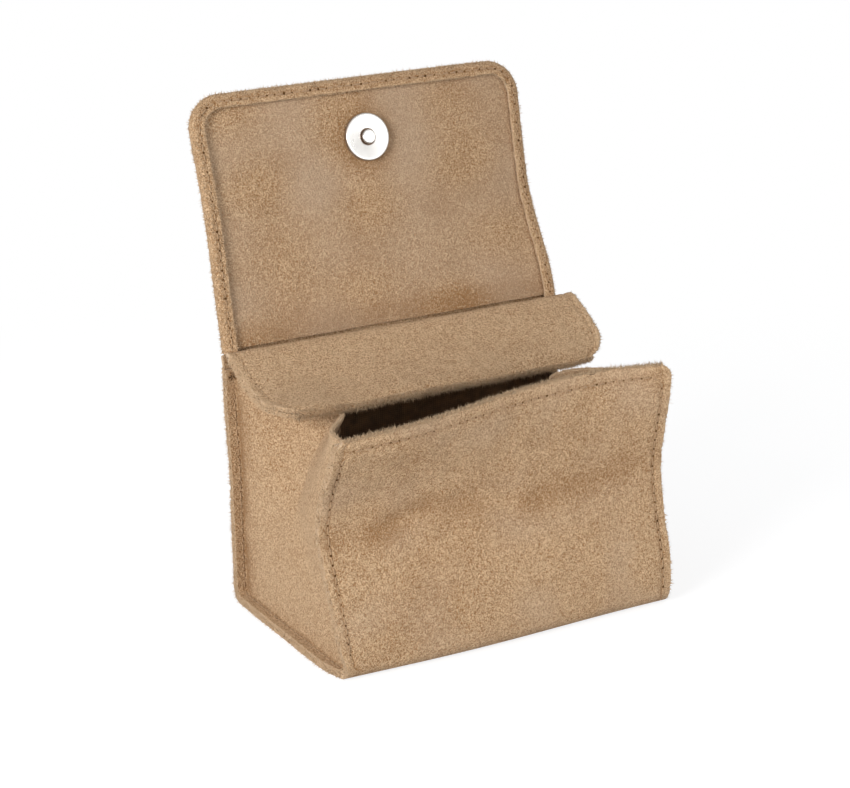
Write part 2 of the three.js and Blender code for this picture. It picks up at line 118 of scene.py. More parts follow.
class PouchSizes(bpy.types.PropertyGroup):
    """Sizes of the leather, the stitches and the nap"""

    suede: length("Suede", "Thickness of the suede", 1.5 * MM)
    gap: length("Gap", "Between two sewn layers", 0.35 * MM)
    strip_width: length("Strip width", "Front, base and back, across", 133 * MM)
    front_length: length("Front length", "Leather above the front bend", 85 * MM)
    bend_radius: length("Bend radius", "Middle of the leather at the bottom bends", 5 * MM)
    crease_reach: length("Crease reach", "Half of the curve at the flap's crease", 6 * MM)
    fold_left: length("Fold, left", "Depth of the fold across the front", 12.7 * MM)
    fold_middle: length("Fold, middle", "Depth of the fold across the front", 10 * MM)
    fold_right: length("Fold, right", "Depth of the fold across the front", 7.6 * MM)
    lean_depth: length("Lean", "How far the front's top edge leans back", 8.3 * MM)
    lean_place: length("Lean place", "Where it leans most, right of the middle", 32 * MM)
    lean_width: length("Lean width", "From there to where it stands upright", 76 * MM)
    lean_reach: length("Lean reach", "How far down the front the lean starts", 50 * MM)
    bulge: length("Bulge", "How far the front's foot stands forward", 2 * MM)
    seam_allowance: length("Seam allowance", "Sewn edges beside the gussets", 4.5 * MM)
    gusset_front_down: length("Gusset, front", "Its front corner below the edge", 3.6 * MM)
    gusset_back_down: length("Gusset, back", "Its back corner below the crease", 10 * MM)
    gusset_cave: length("Gusset cave", "How far a gusset sinks in at its top", 18 * MM)
    dip_left: length("Gusset dip, left", "How far its top edge dips", 5.6 * MM)
    dip_right: length("Gusset dip, right", "How far its top edge dips", 12.5 * MM)
    gusset_turn: length("Gusset turn", "Radius where it turns into its seam", 1.2 * MM)
    lining: length("Lining", "Thickness of the lining cloth", 0.8 * MM)
    tongue_length: length("Tongue length", "Across the pouch", 141 * MM)
    tongue_offset: length("Tongue offset", "To the right", 2.7 * MM)
    tongue_left: length("Tongue, left", "Along its left end, from back to front", 50 * MM)
    tongue_right: length("Tongue, right", "Along its right end, from back to front", 38 * MM)
    tongue_corner: length("Tongue corner", "Radius of its front corners", 10.5 * MM)
    flap_width: length("Flap width", "Across the flap", FLAP_HIGH.x - FLAP_LOW.x)
    flap_length: length("Flap length", "From the crease to its top edge", 90.5 * MM)
    flap_corner: length("Flap corner", "Radius of its top corners", 13 * MM)
    flap_lining: length("Flap lining", "Thickness of the suede inside the flap", 1.2 * MM)
    hem_width: length("Hem width", "Turned edge of the flap", 4.9 * MM)
    hem_start: length("Hem start", "Above the crease", 0.9 * MM)
    stitch: length("Stitch", "From one needle hole to the next", 3.4 * MM)
    thread: length("Thread", "Diameter of the thread", 0.55 * MM)
    fuzz: length("Fuzz", "Length of the fibres on raw edges", 1.5 * MM)
    flap_lean: bpy.props.FloatProperty(
        name="Flap lean", description="Back from upright", default=math.radians(17), subtype="ANGLE"
    )


class PouchColours(bpy.types.PropertyGroup):
    """Linear colours of the finishes"""

    suede: colour("Suede", "Napped face of the leather", (0.47, 0.31, 0.18))
    tips: colour("Nap tips", "Pale ends of the nap", (0.67, 0.462, 0.278))
    # This dark brown is the deep nap, lint and dirt, and also the colour of painted shade in folds, seams,
    # crevices and under the tongue
    worn_and_shade: colour("Worn suede", "Deep in the nap, and where it is rubbed or folded", (0.29, 0.148, 0.058))
    dusty: colour("Dusty suede", "Where the nap is brushed flat", (0.51, 0.375, 0.265))
    raw_edge: colour("Raw edge", "Cut edges of the leather", (0.67, 0.49, 0.315))
    thread: colour("Thread", "Sewing thread", (0.45, 0.30, 0.175))
    hole: colour("Needle hole", "Shadow in a needle hole", (0.035, 0.016, 0.008))
    lining: colour("Lining", "Cloth inside the pouch", (0.26, 0.165, 0.096))
    nickel: colour("Nickel", "Plating of the snap", (0.64, 0.625, 0.60))
    magnet: colour("Magnet", "The disc behind the front", (0.16, 0.16, 0.17))


# Numbers over whole arrays


def smooth(low, high, t):
    """0 below low, 1 above high, and an S-curve between."""
    t = np.clip((t - low) / (high - low), 0, 1)
    return t * t * (3 - 2 * t)


def bell(t):
    """A round bump of height 1, about 1 wide on each side."""
    return np.exp(-t * t)


def hump(t):
    """A squared sine from 0 through 1 and back to 0 as t goes from 0 to 1."""
    return np.sin(np.pi * np.clip(t, 0, 1)) ** 2


def ripple(x, y, wavelength, seed, waves=18):
    """Soft unevenness from about -1 to 1: plane waves of about one wavelength, added up, with
    directions and phases drawn from a seed."""
    draw = np.random.default_rng(seed)
    angle = draw.uniform(0, 2 * np.pi, waves)
    pitch = wavelength * draw.uniform(0.7, 1.5, waves)
    phase = draw.uniform(0, 2 * np.pi, waves)
    x, y = np.broadcast_arrays(np.asarray(x, float), np.asarray(y, float))
    run = x[..., None] * np.cos(angle) + y[..., None] * np.sin(angle)
    return np.sin(2 * np.pi * run / pitch + phase).sum(-1) / math.sqrt(2 * waves)


def unit(vectors):
    """Vectors cut to length 1."""
    return vectors / np.maximum(np.linalg.norm(vectors, axis=-1, keepdims=True), 1e-12)


def stations(*stretches):
    """Places along a path: stretches of (from, to, steps), with shared ends kept once."""
    parts = [np.linspace(a, b, n + 1)[i > 0 :] for i, (a, b, n) in enumerate(stretches)]
    return np.concatenate(parts)


def coons(left, right, bottom, top):
    """A patch inside four edges: the two ruled surfaces between opposite edges, added, less the
    bilinear one through the corners. Left and right run up; bottom and top run to the right."""
    a = np.linspace(0, 1, len(bottom))[None, :, None]
    b = np.linspace(0, 1, len(left))[:, None, None]
    ruled = (1 - a) * left[:, None] + a * right[:, None] + (1 - b) * bottom[None] + b * top[None]
    low = (1 - a) * bottom[0] + a * bottom[-1]
    high = (1 - a) * top[0] + a * top[-1]
    return ruled - (1 - b) * low - b * high


# Surfaces


class Leather:
    """The pouch's surfaces. The strip runs down the front, under the base and up the back; s is the
    length along it from the front's top edge. The flap goes on from the crease, with u along it."""

    def __init__(self, sizes):
        self.k = sizes
        self.back_y, self.crease_z = HINGE[1], HINGE[2]
        self.low = sizes.suede / 2
        quarter = math.pi / 2 * sizes.bend_radius
        self.front_end = sizes.front_length
        self.base_start = self.front_end + quarter
        self.base_end = self.base_start + 2 * (self.back_y - sizes.bend_radius)
        self.back_start = self.base_end + quarter
        self.strip_end = self.back_start + self.crease_z - self.low - sizes.bend_radius
        self.gusset_root = sizes.strip_width / 2 - sizes.seam_allowance
        self.flange = sizes.suede + FLANGE_GAP
        self.crease_half = sizes.flap_width / 2 - 0.3 * MM
        self.tongue_depth = (sizes.tongue_left + sizes.tongue_right) / 2
        self.gusset_top = self.strip_end - sizes.gusset_back_down
        self.lining_depth = 0.5 * sizes.flap_lining + 0.5 * sizes.suede + sizes.gap
        self.fold_radius = 0.5 * (sizes.suede + sizes.gap + sizes.flap_lining + sizes.gap)
        self.hem_depth = 2 * self.fold_radius
        self.hem_inset = self.fold_radius + sizes.suede / 2
        snap = (SNAP_LOW + SNAP_HIGH) / 2
        self.snap_up = math.hypot(snap.y - HINGE[1], snap.z - HINGE[2])
        self.tongue_table()

    def fold_power(self, x):
        """The fold lies higher at the left edge than at the right: the power of its squared sine."""
        return 0.90 + 0.04 * 2 * x / self.k.strip_width

    def fold_line(self, x):
        """Where the fold across the front is deepest, along the leather, winding as a sine."""
        winding = 2.5 * MM * np.sin(x / (11 * MM))
        return self.k.front_length * 0.5 ** (1 / self.fold_power(x)) + winding

    def sunk(self, x, s):
        """How far the front stands inside its plane: a fold, as a squared sine whose depth is a
        parabola across the front, with a creased bottom, and a lean at the top edge, as a parabola
        that fades to both sides."""
        k = self.k
        across = 2 * x / k.strip_width
        slant = (k.fold_right - k.fold_left) / 2
        bow = (k.fold_right + k.fold_left) / 2 - k.fold_middle
        depth = k.fold_middle + slant * across + bow * across**2
        down = np.clip(s / k.front_length, 0, 1)
        fold = depth * np.sin(np.pi * down ** self.fold_power(x)) ** 2
        off = (s - self.fold_line(x)) / (5 * MM)
        crease = 1.1 * MM * np.exp(-np.sqrt(off**2 + 0.09)) * (1 - 0.4 * across)
        beside = np.clip((x - k.lean_place) / k.lean_width, -1, 1)
        lean = k.lean_depth * np.cos(np.pi / 2 * beside) ** 2 * (1 - 0.4 * smooth(0.65, 1, across))
        return fold + crease * hump(down) + lean * np.maximum(0, 1 - s / k.lean_reach) ** 2

    def height(self, x, s, steps=28):
        """Height of the front above its bend: the leather's length less what sinking in takes."""
        step = (self.k.front_length - s) / steps
        marks = s[..., None] + step[..., None] * np.arange(steps + 1)
        inwards = np.diff(self.sunk(x[..., None], marks), axis=-1)
        return np.sqrt(np.maximum(step[..., None] ** 2 - inwards**2, 0)).sum(-1)

    def crease(self, c):
        """Depth, height and angle of the back and the flap from the crease's axis: a straight back,
        an arc, then the straight flap; c is the length from the axis, less than 0 on the back."""
        lean, reach = self.k.flap_lean, self.k.crease_reach
        turn = lean / (2 * reach)
        angle = turn * np.clip(c + reach, 0, 2 * reach)
        past = np.maximum(c - reach, 0)
        y = (1 - np.cos(angle)) / turn + past * math.sin(lean)
        z = np.minimum(c, -reach) + np.sin(angle) / turn + past * math.cos(lean)
        return y, z, angle

    def strip(self, x, s):
        """A point in the middle of the strip."""
        x, s = np.broadcast_arrays(np.asarray(x, float), np.asarray(s, float))
        k = self.k
        bend, front, up = k.bend_radius, -self.back_y, self.low + k.bend_radius
        first = np.pi + (s - self.front_end) / bend
        second = -np.pi / 2 + (s - self.base_end) / bend
        on_front = s < self.front_end
        on = [on_front, s <= self.base_start, s <= self.base_end, s <= self.back_start]
        crease_y, crease_z, _ = self.crease(s - self.strip_end)
        on_s = np.minimum(s, self.front_end)
        y = np.select(on, [
            front + self.sunk(x, on_s),
            front + bend + bend * np.cos(first),
            front + bend + s - self.base_start,
            self.back_y - bend + bend * np.cos(second),
        ], self.back_y + crease_y)
        z = np.select(on, [
            up + self.height(x, s),
            up + bend * np.sin(first),
            np.full_like(s, self.low),
            up + bend * np.sin(second),
        ], self.crease_z + crease_z)
        bulge_middle, bulge_half, bulge_reach = -15 * MM, 72 * MM, 45 * MM
        beside = np.clip((x - bulge_middle) / bulge_half, -1, 1)
        under = smooth(0, bulge_reach, s - self.base_start)
        foot = smooth(bulge_reach, self.front_end, s) * (1 - under)
        y = y - k.bulge * np.cos(np.pi / 2 * beside) ** 2 * foot
        up_back = (s - self.back_start) / (self.strip_end - self.back_start)
        uneven_back = 1.1 * MM * ripple(x, s, 60 * MM, 31)
        y = y + uneven_back * hump(up_back)
        flare = self.crease_half / (k.strip_width / 2) - 1
        return np.stack([x * (1 + flare * smooth(0.25, 1, up_back)), y, z], -1)

    def outline(self, side, s):
        """Half of the strip's width on one side: rounded at the front's top corners and drawn in at
        the bottom of the front, more so on the left."""
        k, corner = self.k, 4 * MM
        near = np.clip(s, 0, corner)
        cut = corner - np.sqrt(corner**2 - (corner - near) ** 2)
        drawn_in = np.where(side < 0, PINCH_LEFT, PINCH_RIGHT)
        pinch = drawn_in * bell((s - self.front_end - 4 * MM) / (8 * MM))
        return k.strip_width / 2 - cut - pinch

    def gusset_start(self, side):
        """Where a gusset starts on the front, along the strip: higher on the left."""
        return self.k.gusset_front_down - (0 if side > 0 else LEFT_GUSSET_FRONT_UP)

    def gusset_end(self, side):
        """Where a gusset ends on the back, along the strip: higher on the left."""
        return self.gusset_top + (0 if side > 0 else LEFT_GUSSET_BACK_UP)

    def inside(self, x, s, inwards):
        """A point moved inwards from the middle of the strip, square to it."""
        tiny = 0.02 * MM
        along = self.strip(x, s + tiny) - self.strip(x, s - tiny)
        across = self.strip(x + tiny, s) - self.strip(x - tiny, s)
        normal = unit(np.cross(across, along))
        return self.strip(x, s) + normal * np.asarray(inwards, float)[..., None]

    def rail_places(self, front_top, back_top, up):
        """Places along the strip on a side panel's front and back edge, from the base upwards."""
        front = self.base_start + (front_top - self.base_start) * up
        back = self.base_end + (back_top - self.base_end) * up
        return front, back

    def base_places(self, across):
        """Places along the strip on a side panel's bottom edge, from front to back."""
        return self.base_start + (self.base_end - self.base_start) * across

    def side_panel(self, side, root, inwards, front_top, back_top, across, up):
        """A panel between front and back: straight lines between its rails, then sunk in by squared
        sines across the depth that grow with height, with a soft upright fold and a few dents."""
        k = self.k

        def edge(s):
            return self.inside(side * root, s, inwards(s))

        front, back = (edge(s) for s in self.rail_places(front_top, back_top, up))
        a = across[None, :]
        point = front[:, None] * (1 - a[..., None]) + back[:, None] * a[..., None]
        base = edge(self.base_places(across))
        point = point + (base - point[0]) * ((1 - up) ** 3)[:, None, None]
        floor = point[0, :, 2].min()
        high = np.clip((point[..., 2] - floor) / (self.crease_z - k.gusset_back_down - floor), 0, 1.2)
        bowl = hump(a ** (0.85 if side > 0 else 1.15))
        pleat = 1.6 * MM * np.exp(-np.abs(a - 0.52) / 0.07) * smooth(0.25, 0.9, high) * bowl
        uneven = 1.3 * MM * ripple(point[..., 1], point[..., 2], 26 * MM, 5 + side)
        dents = uneven * hump(a) * hump(high)
        point[..., 0] -= side * (k.gusset_cave * bowl * high**2 + pleat + dents)
        dip = k.dip_right * hump(a**2) if side > 0 else k.dip_left * hump(a)
        point[..., 2] -= dip * high**4
        return point

    def gusset_panel(self, side, across, up):
        """A gusset's side panel, between its seam allowances."""

        def inwards(s):
            return np.full_like(s, self.flange + self.k.gusset_turn)

        ends = self.gusset_start(side), self.gusset_end(side)
        return self.side_panel(side, self.gusset_root, inwards, *ends, across, up)

    def sway(self, x, u):
        """How far the flap stands off its plane, towards the inside: its right edge is bent back and
        its left edge forwards, both growing with the 1.6th power of the distance from the middle."""
        along = u / self.k.flap_length
        share = np.clip(np.abs(x) / (self.k.flap_width / 2), 0, 1.1) ** 1.6
        right = -7.5 * MM * smooth(0.05, 0.5, along) * (1 - 0.42 * smooth(0.5, 1, along))
        left = 3.2 * MM * hump(along * 0.85)
        return share * np.where(x > 0, right, left)

    def flap(self, x, u, depth):
        """A point on the flap, at a depth towards its inside from the middle of the outer leather."""
        x, u, depth = np.broadcast_arrays(*(np.asarray(v, float) for v in (x, u, depth)))
        y, z, angle = self.crease(u)
        off = depth + self.sway(x, u)
        return np.stack([
            x,
            self.back_y + y - off * np.cos(angle),
            self.crease_z + z + off * np.sin(angle),
        ], -1)

    def flap_edge(self, d, inset):
        """A path round the flap, drawn in from its outline: up the left side, round the corner,
        along the top and down the right side; d is the length along it. Gives x, u and the
        outward direction."""
        k = self.k
        radius = k.flap_corner - inset
        side = k.flap_length - k.flap_corner
        arc = math.pi / 2 * radius
        total = self.flap_edge_length(inset)
        left = d < total / 2
        e = np.minimum(d, total - d)
        turn = np.clip((e - side) / radius, 0, np.pi / 2)
        half = k.flap_width / 2
        x = -half + inset + radius * (1 - np.cos(turn)) + np.maximum(0, e - side - arc)
        u = np.minimum(e, side) + radius * np.sin(turn)
        out_x, out_u = -np.cos(turn), np.sin(turn)
        return np.where(left, x, -x), u, np.where(left, out_x, -out_x), out_u

    def flap_edge_length(self, inset):
        """Length of that path."""
        k = self.k
        sides = 2 * (k.flap_length - k.flap_corner) + k.flap_width - 2 * k.flap_corner
        return sides + math.pi * (k.flap_corner - inset)

    def flap_split(self, inset):
        """Where the middle of the left corner's arc is on that path."""
        return self.k.flap_length - self.k.flap_corner + math.pi / 4 * (self.k.flap_corner - inset)

    def flap_patch(self, inset, foot, step):
        """A patch of x and u inside that path, from a height above the crease, as a grid."""
        total, split = self.flap_edge_length(inset), self.flap_split(inset)
        rise = np.linspace(foot, split, int((split - foot) / step) + 1)
        run = np.linspace(split, total - split, int((total - 2 * split) / step) + 1)

        def edge(d):
            return np.stack(self.flap_edge(d, inset)[:2], -1)

        left, right, top = edge(rise), edge(total - rise), edge(run)
        bottom = left[0] + (right[0] - left[0]) * np.linspace(0, 1, len(run))[:, None]
        return coons(left, right, bottom, top)

    def tongue_table(self):
        """The tongue's two ends, from its back edge: directions in degrees above level at a few
        shares of the length, added up."""
        self.tongue_share = np.linspace(0, 1, 300)
        start_y = self.back_y - self.k.suede - self.k.gap - 0.5 * MM
        start_z = self.crease_z - 7 * MM
        self.tongue_ends = []
        for reach, places, angles in (
            (
                self.k.tongue_left,
                [0, 0.11, 0.15, 0.194, 0.24, 0.44, 0.60, 0.76, 0.92, 1],
                [88, 86, 45, -15, -27.5, -25.5, -14.5, -4.5, -2, -26],
            ),
            (
                self.k.tongue_right,
                [0, 0.145, 0.197, 0.255, 0.316, 0.526, 0.737, 0.895, 1],
                [88, 86, 45, -15, -24, -30, -39, -48, -70],
            ),
        ):
            angle = np.radians(np.interp(self.tongue_share, places, angles))
            step = reach * self.tongue_share[1]
            y = start_y - step * (np.cumsum(np.cos(angle)) - math.cos(angle[0]))
            z = start_z + step * (np.cumsum(np.sin(angle)) - math.sin(angle[0]))
            self.tongue_ends.append((y, z, angle))

    def tongue(self, x, t, off):
        """A point on the tongue, t from its back edge and off above its middle: straight lines from
        its left end to its right end, bowed forwards in the middle, and a little uneven."""
        k = self.k
        x, t, off = np.broadcast_arrays(*(np.asarray(v, float) for v in (x, t, off)))
        share = t / self.tongue_depth
        right = np.clip(0.5 + x / k.tongue_length, 0, 1)

        def at(values):
            return np.interp(share, self.tongue_share, values)

        y, z, angle = ((1 - right) * at(a) + right * at(b) for a, b in zip(*self.tongue_ends))
        forward = smooth(0.25, 1, share)
        bow = 3 * MM * (1 - (2 * right - 1) ** 2)
        y = y - (bow - 0.4 * MM * ripple(x, 0 * x, 22 * MM, 14)) * forward
        z = z + 0.6 * MM * ripple(x, t, 38 * MM, 12) * forward
        return np.stack([x + k.tongue_offset, y + off * np.sin(angle), z + off * np.cos(angle)], -1)

    def tongue_half(self, t):
        """Half of the tongue's length where it is t from its back edge: less at its root, and rounded
        towards its front corners."""
        k = self.k
        near = np.clip(self.tongue_depth - t, 0, k.tongue_corner)
        cut = k.tongue_corner - np.sqrt(k.tongue_corner**2 - (k.tongue_corner - near) ** 2)
        root = 7 * MM * (1 - smooth(0.09, 0.15, t / self.tongue_depth))
        return k.tongue_length / 2 - cut - root


# Meshes


def grid_faces(rows, columns):
    """The quads of a grid whose vertices run row by row."""
    i, j = np.meshgrid(np.arange(rows - 1), np.arange(columns - 1), indexing="ij")
    a = (i * columns + j).ravel()
    return np.stack([a, a + 1, a + columns + 1, a + columns], -1)


def join(*grids):
    """Grids of points as one mesh, with the points that they share merged. Also gives which of the
    points, row by row and grid by grid, are kept."""
    points = np.concatenate([g.reshape(-1, 3) for g in grids])
    start = np.cumsum([0] + [g.shape[0] * g.shape[1] for g in grids])
    faces = np.concatenate([grid_faces(*g.shape[:2]) + at for g, at in zip(grids, start)])
    key = np.round(points / MERGE_WITHIN).astype(np.int64)
    _, kept, place = np.unique(key, axis=0, return_index=True, return_inverse=True)
    return points[kept], place.ravel()[faces], kept


def add_piece(name, points, faces, *finishes, **attributes):
    """A mesh object at the origin with smooth faces, its finishes and its own numbers at each point."""
    mesh = bpy.data.meshes.new(name)
    mesh.from_pydata(points, [], faces.tolist())
    mesh.polygons.foreach_set("use_smooth", np.ones(len(mesh.polygons), bool))
    for material in finishes:
        mesh.materials.append(material)
    for key, values in attributes.items():
        layer = mesh.attributes.new(key, "FLOAT", "POINT")
        layer.data.foreach_set("value", np.asarray(values, np.float32))
    mesh.update()
    piece = bpy.data.objects.new(name, mesh)
    bpy.context.scene.collection.objects.link(piece)
    return piece


def thicken(piece, thickness, round_edge):
    """Gives a sheet its thickness, with the second finish on its cut edge, and rounds that edge."""
    solid = piece.modifiers.new("thickness", "SOLIDIFY")
    solid.thickness = thickness
    solid.offset = 0
    solid.material_offset_rim = 1
    bevel = piece.modifiers.new("edge", "BEVEL")
    bevel.width = round_edge
    bevel.segments = 2
    bevel.limit_method = "ANGLE"
    bevel.angle_limit = SHARP_EDGE
    return piece


def leather_sheet(name, grids, thickness, round_edge, **attributes):
    """A sheet of suede from grids of points. Each attribute is a list with one array for each grid."""
    points, faces, kept = join(*grids)
    numbers = {key: np.concatenate([a.ravel() for a in arrays])[kept] for key, arrays in attributes.items()}
    piece = add_piece(name, points, faces, finish("suede"), finish("raw_edge"), **numbers)
    return thicken(piece, thickness, round_edge)


def ring(across, lift, sides):
    """Points round circles of radius 1, each spread by two directions."""
    turn = np.arange(sides) / sides * 2 * np.pi
    return across[..., None, :] * np.cos(turn)[:, None] + lift[..., None, :] * np.sin(turn)[:, None]


def round_faces(rows, sides):
    """Triangles of a closed round form: rings of points, then a pole at its first and its last end."""
    i, j = np.meshgrid(np.arange(rows - 1), np.arange(sides), indexing="ij")
    a, b = (i * sides + j).ravel(), (i * sides + (j + 1) % sides).ravel()
    walls = [np.stack([a, b, b + sides], -1), np.stack([a, b + sides, a + sides], -1)]
    here = np.arange(sides)
    after, last = (here + 1) % sides, (rows - 1) * sides
    first_cap = np.stack([after, here, np.full(sides, rows * sides)], -1)
    last_cap = np.stack([last + here, last + after, np.full(sides, rows * sides + 1)], -1)
    return np.concatenate([*walls, first_cap, last_cap])


def copies(points, faces):
    """Many small shapes as one mesh, from their points, shape by shape, and the faces of one."""
    count, stride = points.shape[:2]
    every = faces[None] + stride * np.arange(count)[:, None, None]
    return points.reshape(-1, 3), every.reshape(-1, 3)


def tubes(centres, across, lift, radius):
    """Closed tubes: rings of six points round each line of centres, with a pole at each end. Centres
    and the two directions across them are (tube, place, 3), and radius is (tube, place)."""
    count, places = centres.shape[:2]
    rings = centres[:, :, None] + ring(across, lift, 6) * radius[:, :, None, None]
    points = np.concatenate([rings.reshape(count, -1, 3), centres[:, :1], centres[:, -1:]], 1)
    return copies(points, round_faces(places, 6))


def sewing(path, normal, k, seed):
    """A row of stitches along a path on a surface: each is a tube that comes up out of one needle
    hole, lies on the surface and goes down the next. Gives the tubes and the holes' places."""
    draw = np.random.default_rng(seed)
    run = np.concatenate([[0], np.cumsum(np.linalg.norm(np.diff(path, axis=0), axis=1))])
    count = max(1, round(run[-1] / k.stitch))
    holes = np.linspace(0, run[-1], count + 1)
    holes[1:-1] += draw.normal(0, 0.16 * MM, count - 1)

    def at(d, values):
        return np.stack([np.interp(d, run, values[:, i]) for i in range(3)], -1)

    q, hole_share = np.linspace(0, 1, 8), 0.07
    d = holes[:-1, None] + np.diff(holes)[:, None] * (hole_share + (1 - 2 * hole_share) * q)
    up = unit(at(d, normal))
    way = unit(np.gradient(at(d, path), axis=1))
    side = unit(np.cross(way, up))
    lift = -0.6 * k.thread + 0.72 * k.thread * np.sin(np.pi * q) ** 0.45
    lift = lift + draw.normal(0, 0.04 * k.thread, (count, 1))
    skew = draw.normal(0, 0.12 * MM, (count, 1)) * (2 * q - 1)
    centres = at(d, path) + up * lift[..., None] + side * skew[..., None]
    radius = np.broadcast_to(k.thread / 2 * (0.72 + 0.28 * np.sin(np.pi * q)), d.shape)
    return tubes(centres, side, up, radius), (at(holes, path), unit(at(holes, normal)))


def pits(places, normals, size, seed):
    """Needle holes: closed lenses of eight sides lying in the surface."""
    draw = np.random.default_rng(seed)
    count = len(places)
    side = unit(np.cross(normals, draw.normal(size=(count, 3))))
    radius = (size * (0.45 + 0.6 * draw.beta(1.3, 1.8, count)))[:, None, None]
    rim = places[:, None] + ring(side, np.cross(normals, side), 8) * radius
    top = places + normals * 0.12 * MM
    under = places - normals * 0.3 * MM
    return copies(np.concatenate([rim, under[:, None], top[:, None]], 1), round_faces(1, 8))


def fibres(roots, ways, longest, seed):
    """Fuzz: each fibre is a thin closed pyramid with three root points and a tip."""
    draw = np.random.default_rng(seed)
    count = len(roots)
    ways = unit(unit(ways) + draw.normal(0, 0.5, (count, 3)))
    side = unit(np.cross(ways, draw.normal(size=(count, 3))))
    width = draw.uniform(0.08, 0.2, count) * MM
    reach = longest * draw.beta(1.6, 3.2, count) * 1.5
    sunk = roots - ways * 0.15 * MM
    foot = sunk[:, None] + ring(side, np.cross(ways, side), 3) * width[:, None, None]
    tip = roots + ways * reach[:, None]
    foot[..., 2] = np.maximum(foot[..., 2], 0)
    tip[:, 2] = np.maximum(tip[:, 2], 0.02 * MM)
    pyramid = np.array([[0, 1, 3], [1, 2, 3], [2, 0, 3], [2, 1, 0]])
    return copies(np.concatenate([foot, tip[:, None]], 1), pyramid)


def gather(*meshes):
    """Several meshes of points and triangles as one."""
    start = np.cumsum([0] + [len(points) for points, _ in meshes])
    points = np.concatenate([points for points, _ in meshes])
    return points, np.concatenate([faces + at for (_, faces), at in zip(meshes, start)])


# Finishes


class Value:
    """A shader socket. Python's operators on it add Math nodes."""

    def __init__(self, finish, socket):
        self.finish, self.socket = finish, socket

    def math(self, operation, a, b):
        """A Math node on two values."""
        return self.finish.add("ShaderNodeMath", {"operation": operation}, {0: a, 1: b})

    def larger(self, other):
        """The larger of two values."""
        return self.math("MAXIMUM", self, other)

    def __add__(self, other):
        return self.math("ADD", self, other)

    def __sub__(self, other):
        return self.math("SUBTRACT", self, other)

    def __rsub__(self, other):
        return self.math("SUBTRACT", other, self)

    def __mul__(self, other):
        return self.math("MULTIPLY", self, other)

    __radd__, __rmul__ = __add__, __mul__


class Finish:
    """A material under construction: its node tree and its main shader."""

    def __init__(self, name, **constants):
        self.material = bpy.data.materials.new(name)
        self.material.use_nodes = True
        self.tree = self.material.node_tree
        self.shader = self.tree.nodes["Principled BSDF"]
        for key, value in constants.items():
            self.shader.inputs[key.replace("_", " ")].default_value = value

    def add(self, kind, settings=None, inputs=None, output=0):
        """A node of one kind with its settings, then the values or links of its sockets."""
        node = self.tree.nodes.new(kind)
        for key, value in (settings or {}).items():
            setattr(node, key, value)
        for key, value in (inputs or {}).items():
            self.put(node.inputs[key], value)
        return Value(self, node.outputs[output])

    def put(self, socket, value):
        """A link or a constant for one socket."""
        if isinstance(value, Value):
            self.tree.links.new(value.socket, socket)
        else:
            socket.default_value = value

    def set(self, **inputs):
        """Links to the main shader's sockets."""
        for key, value in inputs.items():
            self.put(self.shader.inputs[key.replace("_", " ")], value)

    def place(self):
        """Where a point is on the piece, in metres."""
        return self.add("ShaderNodeTexCoord", output="Object")

    def noise(self, place, size, detail=2.0, distortion=0.0):
        """Clouds of about one size, from 0 to 1."""
        inputs = {"Vector": place, "Scale": 1 / size, "Detail": detail, "Distortion": distortion}
        return self.add("ShaderNodeTexNoise", None, inputs)

    def strokes(self, place, size, stretch):
        """Fibres lying in four directions: clouds of one size drawn out, the brightest of the four."""
        fibre = 0
        for turn in ((0.5, 0.9, 0), (-0.7, -0.4, 0), (0.4, 1.5, 0), (0.3, -1.0, 0)):
            inputs = {"Vector": place, "Rotation": turn, "Scale": (1, 1, stretch)}
            drawn = self.add("ShaderNodeMapping", {"vector_type": "TEXTURE"}, inputs)
            one = self.span(self.noise(drawn, size, 0.0, 0.5), 0.62, 0.74)
            fibre = one.larger(fibre)
        return fibre

    def own(self, name):
        """The piece's own number at a point."""
        return self.add("ShaderNodeAttribute", {"attribute_name": name}, None, "Fac")

    def span(self, value, low, high):
        """0 at low and 1 at high, cut off outside."""
        return self.add("ShaderNodeMapRange", None, {0: value, 1: low, 2: high})

    def mix(self, share, a, b):
        """Colour a towards colour b."""
        settings = {"data_type": "RGBA", "clamp_factor": True}
        a, b = (c if isinstance(c, Value) else (*c, 1) for c in (a, b))
        return self.add("ShaderNodeMix", settings, {0: share, 6: a, 7: b}, 2)

    def scaled(self, tint, share):
        """A colour made lighter or darker."""
        return self.add("ShaderNodeVectorMath", {"operation": "SCALE"}, {0: tint, 3: share})

    def bump(self, height, depth, strength=1.0):
        """A normal from a height between 0 and 1."""
        inputs = {"Strength": strength, "Distance": depth, "Height": height}
        return self.add("ShaderNodeBump", None, inputs)


